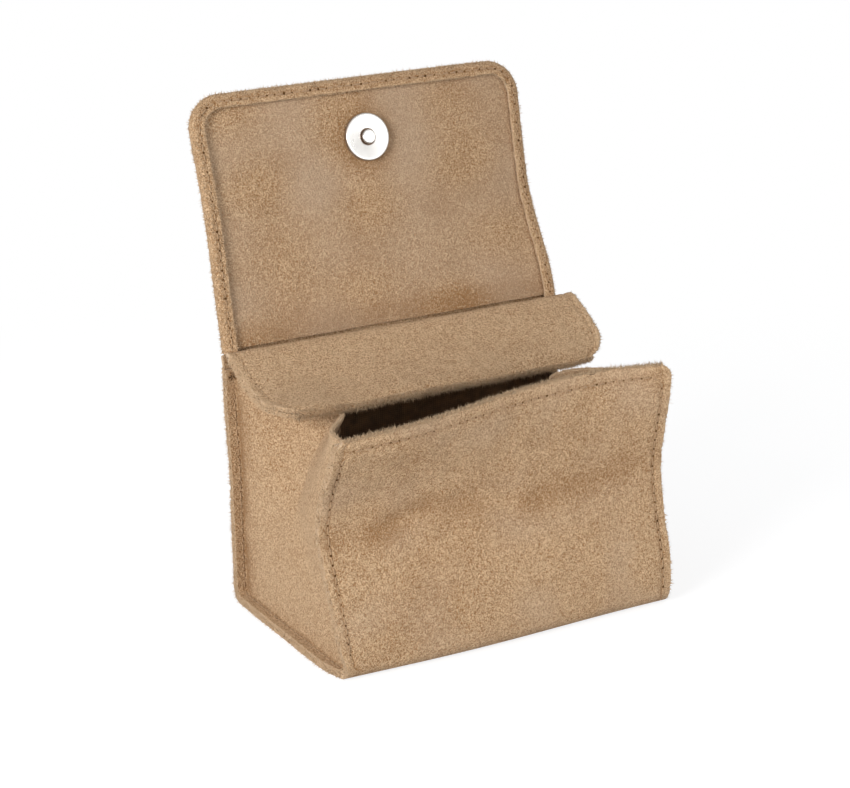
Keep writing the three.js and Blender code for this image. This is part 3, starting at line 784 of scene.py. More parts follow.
def suede_finish(name, colours):
    """Napped suede: pale tips and deep roots of the nap in clumps, mottling and broad patches, darker
    with painted shade where the piece's shade number says so, greyer where it is brushed flat and paler
    near its cut edges."""
    f = Finish(name, Roughness=0.95, Specular_IOR_Level=0.12, Sheen_Weight=0.17, Sheen_Roughness=0.55)
    f.shader.inputs["Sheen Tint"].default_value = (1.0, 0.83, 0.64, 1)
    place = f.place()
    nap = f.span(f.noise(place, 0.50 * MM, 0.5, 1.0), 0.33, 0.67)
    clumps = f.span(f.noise(place, 1.1 * MM, 1.0, 0.8), 0.30, 0.70)
    mottle = f.span(f.noise(place, 5.5 * MM, 3.0, 0.6), 0.30, 0.72)
    patches = f.span(f.noise(place, 34 * MM, 2.0, 0.4), 0.32, 0.68)
    pores = f.span(f.noise(place, 1.3 * MM, 0.0), 0.76, 0.82)
    strokes = f.strokes(place, 0.34 * MM, 6.0)
    shade, edge = f.own("shade"), f.own("edge")
    light = nap * 1.04 + clumps * 0.22 + mottle * 0.10 + patches * 0.12 + strokes * 0.28 - 0.25
    # Painted shade: the shade number darkens the nap here, and below it pulls the colour towards the dark
    # brown; a negative shade number is painted light
    light = light - pores * 0.4 - shade * 0.42 + edge * 0.22
    base = f.mix(f.own("dust"), f.mix(light, colours.worn_and_shade, colours.tips), colours.dusty)
    shaded_base = f.mix(shade * (0.55 - nap * 0.3), base, colours.worn_and_shade)
    f.set(Base_Color=shaded_base, Roughness=0.88 + nap * 0.1)
    f.set(Normal=f.bump(nap * 0.6 + clumps * 0.3 + mottle * 0.3 + strokes * 0.3, 0.4 * MM))
    return f.material


def raw_edge_finish(name, colours):
    """The cut edge of the leather: pale, loose fibres across its thickness."""
    f = Finish(name, Specular_IOR_Level=0.1, Sheen_Weight=0.14, Sheen_Roughness=0.6)
    place = f.place()
    nap = f.span(f.noise(place, 0.5 * MM, 0.6, 0.9), 0.30, 0.70)
    clumps = f.span(f.noise(place, 1.3 * MM, 2.0, 0.8), 0.32, 0.68)
    light = 0.22 + nap * 0.5 + clumps * 0.4
    f.set(Base_Color=f.mix(light, colours.worn_and_shade, colours.raw_edge), Roughness=0.9 + nap * 0.08)
    f.set(Normal=f.bump(nap * 0.7 + clumps * 0.3, 0.4 * MM, 0.9))
    return f.material


def fuzz_finish(name, colours):
    """Loose fibres, each a little lighter or darker than the next."""
    f = Finish(name, Specular_IOR_Level=0.1, Roughness=0.95)
    tone = f.span(f.noise(f.place(), 0.9 * MM, 1.0), 0.3, 0.7)
    f.set(Base_Color=f.scaled(f.mix(tone * 0.6, colours.raw_edge, colours.suede), 0.86 + tone * 0.2))
    return f.material


def thread_finish(name, colours):
    """Twisted sewing thread."""
    f = Finish(name, Specular_IOR_Level=0.2, Sheen_Weight=0.1)
    twist = f.span(f.noise(f.place(), 0.5 * MM, 2.0, 0.5), 0.35, 0.65)
    f.set(Base_Color=f.scaled(f.mix(twist * 0.3, colours.thread, colours.worn_and_shade), 0.8 + twist * 0.3))
    f.set(Roughness=0.75 + twist * 0.15, Normal=f.bump(twist, 0.12 * MM))
    return f.material


def hole_finish(name, colours):
    """The shadow inside a needle hole."""
    f = Finish(name, Specular_IOR_Level=0.0, Roughness=1.0)
    f.set(Base_Color=f.scaled(f.mix(f.noise(f.place(), 0.8 * MM), colours.hole, colours.worn_and_shade), 0.7))
    return f.material


def lining_finish(name, colours):
    """Dark plain-weave cloth: two sets of fine waves, with lint and uneven dye."""
    f = Finish(name, Specular_IOR_Level=0.15)
    place = f.place()
    inputs = {"Vector": place, "Scale": 0.4 / MM, "Distortion": 0.6}
    waves = [f.add("ShaderNodeTexWave", {"bands_direction": way}, inputs) for way in "XZ"]
    warp, weft = (f.add("ShaderNodeSeparateColor", None, {0: wave}) for wave in waves)
    lint = f.span(f.noise(place, 3 * MM, 4.0), 0.3, 0.75)
    tone = 0.6 + warp * 0.25 + weft * 0.25 + lint * 0.5
    f.set(Base_Color=f.scaled(f.mix(lint * 0.4, colours.lining, colours.worn_and_shade), tone * 0.8))
    f.set(Roughness=0.9 + lint * 0.08, Normal=f.bump(warp + weft, 0.1 * MM, 0.5))
    return f.material


def metal_finish(name, tint, dirt_and_shade, rough, scratch):
    """Plated metal: fine scratches, smudges, and dirt and painted shade where the piece's own number says
    so.
    """
    f = Finish(name, Metallic=1.0)
    place = f.place()
    stretched = f.add("ShaderNodeMapping", None, {"Vector": place, "Scale": (1, 0.06, 0.06)})
    lines = f.span(f.noise(stretched, 0.12 * MM, 3.0, 0.3), 0.35, 0.65)
    smudge = f.span(f.noise(place, 4 * MM, 3.0, 0.5), 0.3, 0.7)
    grime = f.own("grime")
    f.set(Base_Color=f.mix(grime * (0.6 + smudge * 0.4), f.scaled(tint, 0.93 + smudge * 0.07), dirt_and_shade))
    f.set(Roughness=rough + smudge * 0.10 + grime * 0.3, Normal=f.bump(lines, scratch, 0.4))
    return f.material


def finish(name):
    """A finish by name, made when it is first asked for."""
    label = "pouch_" + name
    made = bpy.data.materials.get(label)
    if made:
        return made
    c = bpy.context.scene.pouch_colours
    if name == "nickel":
        return metal_finish(label, c.nickel, c.worn_and_shade, rough=0.26, scratch=0.02 * MM)
    if name == "magnet":
        return metal_finish(label, c.magnet, c.worn_and_shade, rough=0.4, scratch=0.03 * MM)
    makers = {
        "suede": suede_finish,
        "raw_edge": raw_edge_finish,
        "fuzz": fuzz_finish,
        "thread": thread_finish,
        "needle_hole": hole_finish,
        "lining_cloth": lining_finish,
    }
    return makers[name](label, c)


# Pieces


def body_piece(form):
    """The strip: places x across and s along, pressed in along its stitches, with uneven cut edges
    and a soft relief square to its surface. Painted shade darkens it along the fold, in its stitch grooves
    and where it tucks in by the crease; it is darker and dusty in random patches."""
    share = np.linspace(-1, 1, 176)[None, :]
    s = stations(
        (0, form.front_end, 112),
        (form.front_end, form.base_start, 8),
        (form.base_start, form.base_end, 24),
        (form.base_end, form.back_start, 8),
        (form.back_start, form.strip_end, 72),
    )[:, None]
    x, s = (np.array(v) for v in np.broadcast_arrays(share * form.outline(share, s), s))
    side, top = form.outline(share, s) - np.abs(x), s.copy()
    seam = bell((side - SEAM_LINE) / (0.75 * MM)) * (s < form.gusset_top)
    rim = bell((top - TOP_LINE) / (0.8 * MM)) * (side > SEAM_LINE)
    pressed = np.maximum(seam, 0.7 * rim)
    uneven = 0.16 * MM * ripple(x, s, 13 * MM, 3) + 0.06 * MM * ripple(x, s, 4 * MM, 4)
    on_base = (s > form.front_end) & (s < form.back_start)
    relief = np.where(on_base, 0, 0.42 * MM * pressed - uneven)
    valley = bell((s - form.fold_line(x)) / (6 * MM))
    blotch = np.clip(0.42 + 0.5 * ripple(x, s, 24 * MM, 8), 0, 1)
    broad = np.clip(0.6 * ripple(x, s, 42 * MM, 6) - 0.1, 0, 1) * 0.35
    dust = 0.4 * np.clip(0.1 + 0.6 * ripple(x, s, 30 * MM, 9), 0, 1) * (1 - valley)
    tucked = smooth(form.gusset_top - 3 * MM, form.gusset_top, s) * (1 - smooth(3 * MM, 9 * MM, side))
    # Painted shade in blotches along the fold's valley, in the pressed stitch grooves and where the strip
    # tucks in by the crease; broad adds darker random patches of tone
    shade = 0.95 * valley * blotch + broad + 0.6 * pressed + 0.15 * tucked
    edge = np.maximum(np.exp(-side / (1.3 * MM)), np.exp(-top / (1.5 * MM)))
    near_side, near_top = (1 - smooth(0, 5 * MM, away) for away in (side, top))
    x = x + np.sign(x) * 0.22 * MM * ripple(s, 0 * s, 5 * MM, 21) * near_side
    s = s + 0.2 * MM * ripple(x, 0 * x, 4 * MM, 22) * near_top
    return leather_sheet("body_leather", [form.inside(x, s, relief)], form.k.suede, CUT_ROUND,
                         shade=[shade], edge=[edge], dust=[dust])


def u_path(form, front_top, back_top, up, across):
    """Places along the strip on the edge of a side panel: down the front, along the base, up."""
    front, back = form.rail_places(front_top, back_top, up)
    return np.concatenate([front[::-1], form.base_places(across)[1:], back[1:]])


def gusset_piece(form, name, side):
    """A gusset: its panel, and its seam allowance as a quarter turn and a straight, carried along
    the strip's inside. Painted shade darkens it in patches beside its seams, most beside the back seam, at
    its foot, where the seam allowance turns and, on the right, at its top under the tongue; it is paler at
    its top edge."""
    k = form.k
    up, across = np.linspace(0, 1, 92), np.linspace(0, 1, 90)
    panel = form.gusset_panel(side, across, up)
    s = u_path(form, form.gusset_start(side), form.gusset_end(side), up, across)
    turn, straight = np.linspace(0, np.pi / 2, 5), np.linspace(0, 1, 6)[1:]
    bend = np.broadcast_to(form.gusset_root + k.gusset_turn * (1 - np.cos(turn)), (len(s), len(turn)))
    out = bend[:, -1:] + (form.outline(side, s)[:, None] - bend[:, -1:]) * straight
    profile_x = np.concatenate([bend, out], 1)
    profile_in = form.flange + k.gusset_turn * (1 - np.sin(turn))
    profile_in = np.concatenate([profile_in, np.full(len(straight), form.flange)])
    flange = form.inside(side * profile_x, s[:, None] + 0 * profile_x, profile_in + 0 * profile_x)

    rise, depth = 80 * MM, 2 * form.back_y
    to_top, to_back = (1 - up[:, None]) * rise, (1 - across[None, :]) * depth
    to_seam = np.minimum(across, 1 - across)[None, :] * depth
    # Painted shade in patches beside the seams, most beside the back seam, and at the panel's foot
    shade_blotch = np.clip(0.7 + 0.9 * ripple(0 * to_seam, up[:, None] * rise, 21 * MM, 83), 0, 1)
    panel_shade = 0.95 * np.exp(-to_seam / (3.6 * MM)) * (0.35 + 0.65 * shade_blotch)
    panel_shade = panel_shade + 0.7 * np.exp(-to_back / (2.6 * MM)) * shade_blotch
    panel_shade = panel_shade + 0.25 * np.exp(-up[:, None] / 0.05)
    panel_edge = np.exp(-to_top / (3.2 * MM)) + 0 * to_back
    column = np.arange(profile_x.shape[1])
    # Painted shade where the seam allowance turns into the panel
    flange_shade = 0.85 * (1 - smooth(0, 1, column / 4.5)) + 0 * profile_x
    flange_edge = 0.5 * np.exp(-column[::-1] * 0.7) + 0 * profile_x
    # Painted shade at the right gusset's top, under the tongue
    if side > 0:
        panel_shade = panel_shade + 0.6 * smooth(0.7, 0.95, up)[:, None]
    else:
        panel, panel_shade, flange = panel[:, ::-1], panel_shade[:, ::-1], flange[::-1]
    return leather_sheet(name, [panel, flange], k.suede, CUT_ROUND,
                         shade=[panel_shade, flange_shade], edge=[panel_edge, flange_edge])


def lining_piece(form):
    """The cloth bag inside: a strip that follows the leather and stands off the front for the
    magnet, with a panel at each side."""
    k = form.k
    beside_gusset, magnet_room, below = 1.6 * MM, 2.75 * MM, 4 * MM
    root = form.gusset_root - k.suede / 2 - k.gap - beside_gusset
    close = k.suede / 2 + k.gap + k.lining / 2

    def inwards(s):
        return close + magnet_room * smooth(0, form.base_start / 2, form.base_start - s)

    front_top, back_top = k.gusset_front_down + below, form.gusset_top - below
    up, across = np.linspace(0, 1, 34), np.linspace(0, 1, 30)
    s = u_path(form, front_top, back_top, up, across)
    x = np.linspace(-root, root, 48)
    strip = form.inside(x[None, :], s[:, None], np.broadcast_to(inwards(s)[:, None], (len(s), 48)))
    left, right = (
        form.side_panel(side, root, inwards, front_top, back_top, across, up) for side in (-1, 1)
    )
    points, faces, _ = join(strip[::-1], left[:, ::-1], right)
    piece = add_piece("lining_bag", points, faces, finish("lining_cloth"), finish("lining_cloth"))
    return thicken(piece, k.lining, 0.15 * MM)


def tongue_piece(form):
    """The tongue: one sheet, doubled. Along it the path runs forwards on top, round a half circle at
    the front edge and back below; across it the points spread to the rounded outline."""
    k = form.k
    radius = k.suede / 2 + TONGUE_HALF_GAP
    straight = form.tongue_depth - radius
    w = stations(
        (0, straight, 54),
        (straight, straight + np.pi * radius, 8),
        (straight + np.pi * radius, 2 * straight + np.pi * radius, 54),
    )
    turn = np.clip((w - straight) / radius, 0, np.pi)
    t = np.minimum(w, straight) + radius * np.sin(turn) - np.maximum(w - straight - np.pi * radius, 0)
    off = radius * np.cos(turn)
    share = np.linspace(-1, 1, 190)
    w, t, off = w[:, None], t[:, None], off[:, None]
    x = share * form.tongue_half(t)
    ends = form.tongue_half(t) - np.abs(x)
    uneven = 0.2 * MM * ripple(w, share * 0, 5 * MM, 41)
    x = x + np.sign(x) * uneven * (1 - smooth(0, 4 * MM, ends))
    line = bell((ends - TONGUE_LINE) / (0.8 * MM))
    face = off * (1 - 0.28 * line) + 0.12 * MM * ripple(x, w, 11 * MM, 43)
    edge = np.exp(-ends / (1.2 * MM))
    front = np.exp(-(form.tongue_depth - t) / (3 * MM))
    # Painted shade in the stitch grooves, near the root by the back and along the front edge; the -0.2 is
    # painted light over the whole tongue
    shade = 0.4 * line + 0.3 * (1 - smooth(0, 10 * MM, t)) + 0.25 * front - 0.2
    return leather_sheet("tongue_leather", [form.tongue(x, t, face)], k.suede, CUT_ROUND,
                         shade=[shade], edge=[edge])


def snap_bump(form, x, u):
    """The low bulge of the flap's outside over the snap's washer: a parabola to the power of 1.3."""
    reach, rise = 15.5 * MM, 2.2 * MM
    away = np.hypot(x, u - form.snap_up) / reach
    return rise * np.maximum(0, 1 - away**2) ** 1.3


def flap_piece(form):
    """The flap's outer leather: a patch inside its outline, then a half circle and a hem carried
    round its edge. The hem's cut edge wanders, and it puckers in the corners."""
    k = form.k
    patch = form.flap_patch(form.hem_inset, foot=0, step=0.95 * MM)
    x, u = patch[..., 0], patch[..., 1]
    foot = 1 - smooth(0.5 * k.hem_start, k.hem_start, u)
    half = k.flap_width / 2 - form.hem_inset
    outer = form.crease_half + (k.flap_width / 2 - form.crease_half) * smooth(0, 8 * MM, u)
    x = x * (1 + foot * (outer / half - 1))
    i, j = (np.linspace(0, 1, n) for n in patch.shape[:2])
    inner = smooth(0, 0.1, 1 - i)[:, None] * smooth(0, 0.1, np.minimum(j, 1 - j))
    lumpy = 0.15 * MM * ripple(x, u, 14 * MM, 51) * smooth(0, 9 * MM, u) * inner
    plate = form.flap(x, u, lumpy - snap_bump(form, x, u))

    total, split = form.flap_edge_length(form.hem_inset), form.flap_split(form.hem_inset)
    rise = np.linspace(0, split, patch.shape[0])
    run = np.linspace(split, total - split, patch.shape[1])
    d = np.concatenate([rise, run[1:-1], total - rise[::-1]])
    d = d[(d >= k.hem_start) & (d <= total - k.hem_start)]
    x, u, out_x, out_u = (v[:, None] for v in form.flap_edge(d, form.hem_inset))
    corner = bell((np.abs(d - total / 2) - total / 2 + split) / (7 * MM))[:, None]
    turn = np.linspace(0, np.pi, 9)[None, :]
    flat = np.linspace(0, 1, 7)[None, 1:]
    column = np.arange(turn.size + flat.size)
    along = (column / column[-1])[None, :]
    wander = 0.22 * MM * ripple(d, 0 * d, 8 * MM, 52)[:, None]
    wander = wander + 0.4 * MM * ripple(d, 0 * d, 3 * MM, 53)[:, None] * corner
    hem, thinned = k.hem_width - form.hem_inset + wander, 0.28 * MM * flat**2
    out = np.concatenate([form.fold_radius * np.sin(turn) + 0 * d[:, None], -flat * hem], 1)
    depth = np.concatenate([form.fold_radius * (1 - np.cos(turn)), form.hem_depth - thinned], 1)
    pucker = 0.45 * MM * np.sin(d / (1.15 * MM))[:, None] * corner
    depth = depth + pucker * smooth(0.55, 1, along)
    groove = bell((out + (FLAP_LINE - form.hem_inset)) / (0.7 * MM)) * (column > 6)
    uneven = 0.14 * MM * ripple(d[:, None] + 0 * out, out, 9 * MM, 54) * smooth(0, 0.3, along)
    hem_face = form.flap(x + out * out_x, u + out * out_u, depth - 0.28 * MM * groove + uneven)

    plate_shade = 0.3 * np.clip(ripple(plate[..., 0], plate[..., 2], 40 * MM, 55), 0, 1)
    # Painted shade in the hem's stitch groove; the hem is also a little darker all over
    hem_shade = 0.45 * groove + 0.1 + 0 * depth
    hem_edge = np.exp(-column[::-1] * 0.9)[None, :] + 0 * depth
    return leather_sheet("flap_leather", [plate, hem_face[:, ::-1]], k.suede, 0.3 * MM,
                         shade=[plate_shade, hem_shade[:, ::-1]],
                         edge=[0 * plate_shade, hem_edge[:, ::-1]])


def flap_lining_piece(form):
    """The suede inside the flap: a patch inside its outline, dented a little round the snap. Painted
    shade darkens all of it a little and more near the crease; it is darker in a ring round the snap, and
    cloudy and dusty in patches."""
    k = form.k
    patch = form.flap_patch(inset=3.1 * MM, foot=2 * MM, step=0.82 * MM)
    x, u = patch[..., 0], patch[..., 1]
    away = np.hypot(x, u - form.snap_up)
    dent = 0.22 * MM * bell((away - 9 * MM) / (2.5 * MM))
    window = smooth(12 * MM, 20 * MM, away) * smooth(3 * MM, 12 * MM, k.flap_width / 2 - np.abs(x))
    wave = 0.30 * MM * np.minimum(ripple(x, u, 30 * MM, 61), 0.5) * window
    cloudy = np.clip(0.65 * ripple(x, u, 26 * MM, 62) - 0.1, 0, 1)
    dust = 0.55 * np.clip(0.45 + 0.6 * ripple(x, u, 34 * MM, 63), 0, 1)
    round_snap = 0.55 * bell((away - 9 * MM) / (4 * MM))
    below = 0.5 * (1 - smooth(5 * MM, 13 * MM, u))
    # Painted shade: 0.20 over the whole lining and more near the crease (below); the ring round the snap
    # and the cloudy patches are darker too
    shade = np.clip(0.20 + 0.35 * cloudy + round_snap + below, 0, 1)
    sheet = form.flap(x, u, form.lining_depth - dent + wave)
    return leather_sheet("flap_inner_suede", [sheet], k.flap_lining, 0.2 * MM, shade=[shade], dust=[dust])


def turned_piece(form, name, profile, grime, sides=96):
    """A round piece on the snap's axis: a profile of radius and depth, in metres, that starts and
    ends on the axis, carried round it."""
    radius, depth = np.array(profile).T
    lean = form.k.flap_lean
    middle = form.flap(0, form.snap_up, 0)
    along = np.array([0, math.sin(lean), math.cos(lean)])
    inwards = np.array([0, -math.cos(lean), math.sin(lean)])
    circle = ring(np.array([1.0, 0, 0]), along, sides)
    rings = middle + radius[1:-1, None, None] * circle + depth[1:-1, None, None] * inwards
    poles = middle + depth[[0, -1], None] * inwards
    dirt_and_shade = np.concatenate([np.repeat(grime[1:-1], sides), [grime[0], grime[-1]]])
    points = np.concatenate([rings.reshape(-1, 3), poles])
    faces = round_faces(len(rings), sides)[:, ::-1]
    return add_piece(name, points, faces, finish("nickel"), grime=dirt_and_shade)


def arc(centre, radius, start, stop, steps):
    """Points of radius and depth on a round stretch of a turned profile, between two angles in
    degrees."""
    turn = np.radians(np.linspace(start, stop, steps))
    return [(centre[0] + radius * math.cos(a), centre[1] + radius * math.sin(a)) for a in turn]


def snap_disc(form):
    """The snap's disc: a rolled rim, a face that dishes a little, and a groove round the stub."""
    edge, groove, roll = (SNAP_HIGH.x - SNAP_LOW.x) / 2, 2.8 * MM, 0.55 * MM
    back, face = form.lining_depth + form.k.flap_lining / 2 + 0.05 * MM, 4.1 * MM
    profile = [(0, back), (edge - roll, back), (edge, back + 0.2 * MM), (edge, face - roll)]
    profile += arc((edge - roll, face - roll), roll, 20, 90, 5)
    profile += [(edge - 1.0 * MM, face), (edge - 1.5 * MM, face - 0.07 * MM)]
    profile += [(groove + 0.5 * MM, face - 0.1 * MM), (groove + 0.15 * MM, face - 0.16 * MM)]
    profile += [(groove, face - 0.42 * MM), (0, face - 0.45 * MM)]
    radius = np.array(profile)[:, 0]
    # Dirt and painted shade in the groove round the stub, and painted shade on the rolled rim
    grime = bell((radius - groove) / (0.25 * MM)) + 0.4 * bell((radius - edge) / (0.2 * MM))
    return turned_piece(form, "snap_disc", profile, np.clip(grime, 0, 1))


def snap_stub(form):
    """The stub in the middle of the snap, with a rounded top."""
    foot, top, radius, roll = 3.68 * MM, 5.45 * MM, 2.5 * MM, 0.4 * MM
    profile = [(0, foot), (radius - 0.1 * MM, foot), (radius, foot + 0.15 * MM), (radius, top - roll)]
    profile += arc((radius - roll, top - roll), roll, 15, 90, 5)
    profile += [(1.4 * MM, top - 0.05 * MM), (0, top - 0.08 * MM)]
    depth = np.array(profile)[:, 1]
    # Painted shade on the stub's wall, darkest at its foot
    return turned_piece(form, "snap_stub", profile, 0.75 * (1 - smooth(foot, top - roll, depth)))


def seam_row(form):
    """The seam on the strip's outside: up one edge from the back, round under the front's top edge
    in rounded corners, and down the other."""
    k = form.k
    edge, corner = SEAM_LINE - k.strip_width / 2, 5 * MM
    down = np.linspace(form.gusset_top - 2 * MM, TOP_LINE + corner, 700)
    turn = np.linspace(0, np.pi / 2, 30)
    run = np.linspace(edge + corner, 0, 200)
    x = np.concatenate([np.full_like(down, edge), edge + corner * (1 - np.cos(turn)), run])
    s = np.concatenate([down, TOP_LINE + corner * (1 - np.sin(turn)), np.full_like(run, TOP_LINE)])
    x, s = np.concatenate([x, -x[::-1]]), np.concatenate([s, s[::-1]])
    face = -k.suede / 2 + 0.22 * MM
    path = form.inside(x, s, np.full_like(x, face))
    return path, unit(path - form.inside(x, s, np.zeros_like(x)))


def flange_row(form, side):
    """The same seam on a gusset's seam allowance, seen from beside the gusset."""
    k = form.k
    s = np.linspace(k.gusset_front_down + 3 * MM, form.gusset_top - 3 * MM, 900)
    x = np.full_like(s, side * (k.strip_width / 2 - SEAM_LINE + 0.5 * MM))
    path = form.inside(x, s, np.full_like(s, form.flange + k.suede / 2 - 0.05 * MM))
    return path, unit(path - form.inside(x, s, np.zeros_like(s)))


def hem_row(form):
    """The row on the flap's hem."""
    total = form.flap_edge_length(FLAP_LINE)
    d = np.linspace(form.k.hem_start + 2 * MM, total - form.k.hem_start - 2 * MM, 900)
    x, u, _, _ = form.flap_edge(d, FLAP_LINE)
    face = form.hem_depth + form.k.suede / 2 - 0.2 * MM
    path = form.flap(x, u, face)
    return path, unit(path - form.flap(x, u, 0))


def tongue_row(form, side):
    """The row along an end of the tongue and round its front corner."""
    t = np.linspace(0.24 * form.tongue_depth, form.tongue_depth - 3.2 * MM, 200)
    x = side * (form.tongue_half(t) - TONGUE_LINE)
    face = form.k.suede - 0.1 * MM
    path = form.tongue(x, t, face)
    return path, unit(path - form.tongue(x, t, 0))


def thread_ends(form, side):
    """Cut ends of thread where a seam stops on the back: thin dark pyramids round its last holes."""
    draw = np.random.default_rng(9)
    count = 46
    s = form.gusset_end(side) - draw.uniform(-0.6, 3.4, count) * MM
    x = side * (form.k.strip_width / 2 - draw.uniform(0.8, 4.4, count) * MM)
    root = form.inside(x, s, np.full(count, form.flange + form.k.suede / 2))
    way = np.array([0.3 * side, -1, 0.2]) + draw.normal(0, 0.5, (count, 3))
    return fibres(root, way, 1.8 * MM, 900)


def sewn(name, rows, k, seed):
    """Rows of stitches as one piece of thread and one piece of needle holes."""
    made = [sewing(path, normal, k, seed + i) for i, (path, normal) in enumerate(rows)]
    thread = add_piece(name + "_thread", *gather(*[tube for tube, _ in made]), finish("thread"))
    dark = [pits(*holes, NEEDLE_HOLE, seed + 50 + i) for i, (_, holes) in enumerate(made)]
    holes = add_piece(name + "_holes", *gather(*dark), finish("needle_hole"))
    return thread, holes


def strip_fuzz(form, draw):
    """Fibres on the cut edges of the strip and of the seam allowances, and on the gussets' tops."""
    k = form.k
    count = 7600
    x = draw.uniform(-1, 1, count) * (k.strip_width / 2 - 3 * MM)
    root = form.inside(x, np.zeros(count), draw.uniform(-0.5, 0.5, count) * k.suede)
    up = unit(form.strip(x, 0) - form.strip(x, MM))
    sets = [(root, up + 0.4 * draw.normal(size=(count, 3)), 1.35)]
    count = 6400
    for side in (-1, 1):
        s = draw.uniform(1 * MM, form.strip_end - 4 * MM, count)
        inner = draw.random(count) < 0.45
        s = np.where(inner, np.clip(s, form.gusset_start(side), form.gusset_end(side)), s)
        deep = draw.uniform(-0.5, 0.5, count) * k.suede + inner * form.flange
        root = form.inside(side * form.outline(side, s), s, deep)
        sets.append((root, np.array([side, 0, 0]) + 0.5 * draw.normal(size=(count, 3)), 1))
        across = np.sort(draw.uniform(0, 1, 1600))
        top = form.gusset_panel(side, across, np.array([0.0, 1.0]))[1]
        spread = draw.normal(0, 0.4 * MM, top.shape) * [1, 0.2, 0.2]
        sets.append((top + spread, np.array([0, 0, 1.0]) + 0 * top, 0.8))
    return sets


def tongue_fuzz(form, draw):
    """Fibres on the tongue's cut ends and round its front edge, where some hang down."""
    k = form.k
    thick = k.suede + 0.15 * MM
    sets, count = [], 2200
    for side in (-1, 1):
        t = draw.uniform(0.2, 0.99, count) * form.tongue_depth
        root = form.tongue(side * form.tongue_half(t), t, draw.uniform(-1, 1, count) * thick)
        sets.append((root, np.array([side, 0, 0]) + 0 * root, 1))
    raised, hanging = 7000, 3000
    x = draw.uniform(-1, 1, raised) * (k.tongue_length / 2 - 0.6 * k.tongue_corner)
    end, face = form.tongue_depth - 0.95 * MM, 1.6 * MM
    middle = form.tongue(x, end, 0)
    above = unit(form.tongue(x, end, MM) - middle)
    ahead = unit(middle - form.tongue(x, end - MM, 0))
    for count, low, high, stiff, pull, share in (
        (raised, -0.45, 0.9, 1.0, (0, 0, -0.3), 1),
        (hanging, -1.0, -0.2, 0.6, (0, -0.5, -0.5), 1.4),
    ):
        turn = draw.uniform(low, high, count) * np.pi / 2
        way = ahead[:count] * np.cos(turn)[:, None] + above[:count] * np.sin(turn)[:, None]
        sets.append((middle[:count] + way * face, stiff * way + np.array(pull), share))
    return sets


def flap_fuzz(form, draw):
    """Fibres on the hem's cut edge and round the flap's turned edge."""
    k = form.k
    total = form.flap_edge_length(form.hem_inset)
    count = 4200
    d = draw.uniform(k.hem_start, total - k.hem_start, count)
    x, u, out_x, out_u = form.flap_edge(d, form.hem_inset)
    wide = k.hem_width - form.hem_inset - 0.1 * MM
    face = form.hem_depth + draw.uniform(-0.1, 0.5, count) * k.suede - 0.25 * MM
    root = form.flap(x - wide * out_x, u - wide * out_u, face)
    inner = root - form.flap(x, u, face)
    sets = [(root, unit(inner) + np.array([0, -0.5, 0]), 1)]
    count = 5200
    d = draw.uniform(k.hem_start, total - k.hem_start, count)
    x, u, out_x, out_u = form.flap_edge(d, form.hem_inset)
    turn = draw.uniform(0.15, 0.95, count) * np.pi
    wide = form.fold_radius + k.suede / 2
    root = form.flap(x + wide * np.sin(turn) * out_x, u + wide * np.sin(turn) * out_u,
                     form.fold_radius - wide * np.cos(turn))
    sets.append((root, root - form.flap(x, u, form.fold_radius), 1))
    return sets


def fuzz_piece(name, sets, longest, seed):
    """Sets of fibres as one piece. Each set has its roots, their directions and its share of the
    longest."""
    made = [
        fibres(roots, ways, longest * share, seed + i) for i, (roots, ways, share) in enumerate(sets)
    ]
    return add_piece(name, *gather(*made), finish("fuzz"))


def refinish(node, name):
    """Gives a CAD node that stays a finish in place of its own."""
    materials = frame["nodes"][node].data.materials
    materials.clear()
    materials.append(finish(name))


def crease_blend(piece):
    """Bakes the piece's placement into its mesh."""
    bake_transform(piece)


# Operators


class Builder:
    """What the operators share."""

    bl_options = {"REGISTER", "UNDO"}

    def execute(self, context):
        self.build(Leather(context.scene.pouch_sizes))
        return {"FINISHED"}


class POUCH_OT_body(Builder, bpy.types.Operator):
    """Build the strip that is front, base and back"""

    bl_idname = "pouch.body"
    bl_label = "Body strip"

    def build(self, form):
        piece = body_piece(form)
        crease_blend(piece)
        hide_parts("body_wrap")


class POUCH_OT_gussets(Builder, bpy.types.Operator):
    """Build the two side panels"""

    bl_idname = "pouch.gussets"
    bl_label = "Gussets"

    def build(self, form):
        for name, side in (("left_gusset", -1), ("right_gusset", 1)):
            piece = gusset_piece(form, name + "_leather", side)
            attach(piece, "pouch")
            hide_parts(name)


class POUCH_OT_lining(Builder, bpy.types.Operator):
    """Build the cloth bag inside and finish the magnet behind the front"""

    bl_idname = "pouch.lining"
    bl_label = "Lining"

    def build(self, form):
        piece = lining_piece(form)
        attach(piece, "pouch")
        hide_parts("lining")
        refinish("keeper_magnet", "magnet")


class POUCH_OT_tongue(Builder, bpy.types.Operator):
    """Build the doubled tongue over the mouth"""

    bl_idname = "pouch.tongue"
    bl_label = "Tongue"

    def build(self, form):
        piece = tongue_piece(form)
        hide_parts("tongue")
        rows = [tongue_row(form, side) for side in (-1, 1)]
        sewing_parts = sewn("tongue", rows, form.k, 300)
        fibre_sets = tongue_fuzz(form, np.random.default_rng(7))
        fuzz = fuzz_piece("tongue_fuzz", fibre_sets, form.k.fuzz, 70)
        for part in (piece, *sewing_parts, fuzz):
            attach(part, "pouch")
            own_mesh(part)


class POUCH_OT_flap(Builder, bpy.types.Operator):
    """Build the flap's outer leather with its hem, and the suede inside it"""

    bl_idname = "pouch.flap"
    bl_label = "Flap"

    def build(self, form):
        outer = flap_piece(form)
        crease_blend(outer)
        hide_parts("flap_outer")
        inner = flap_lining_piece(form)
        crease_blend(inner)
        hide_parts("flap_lining")


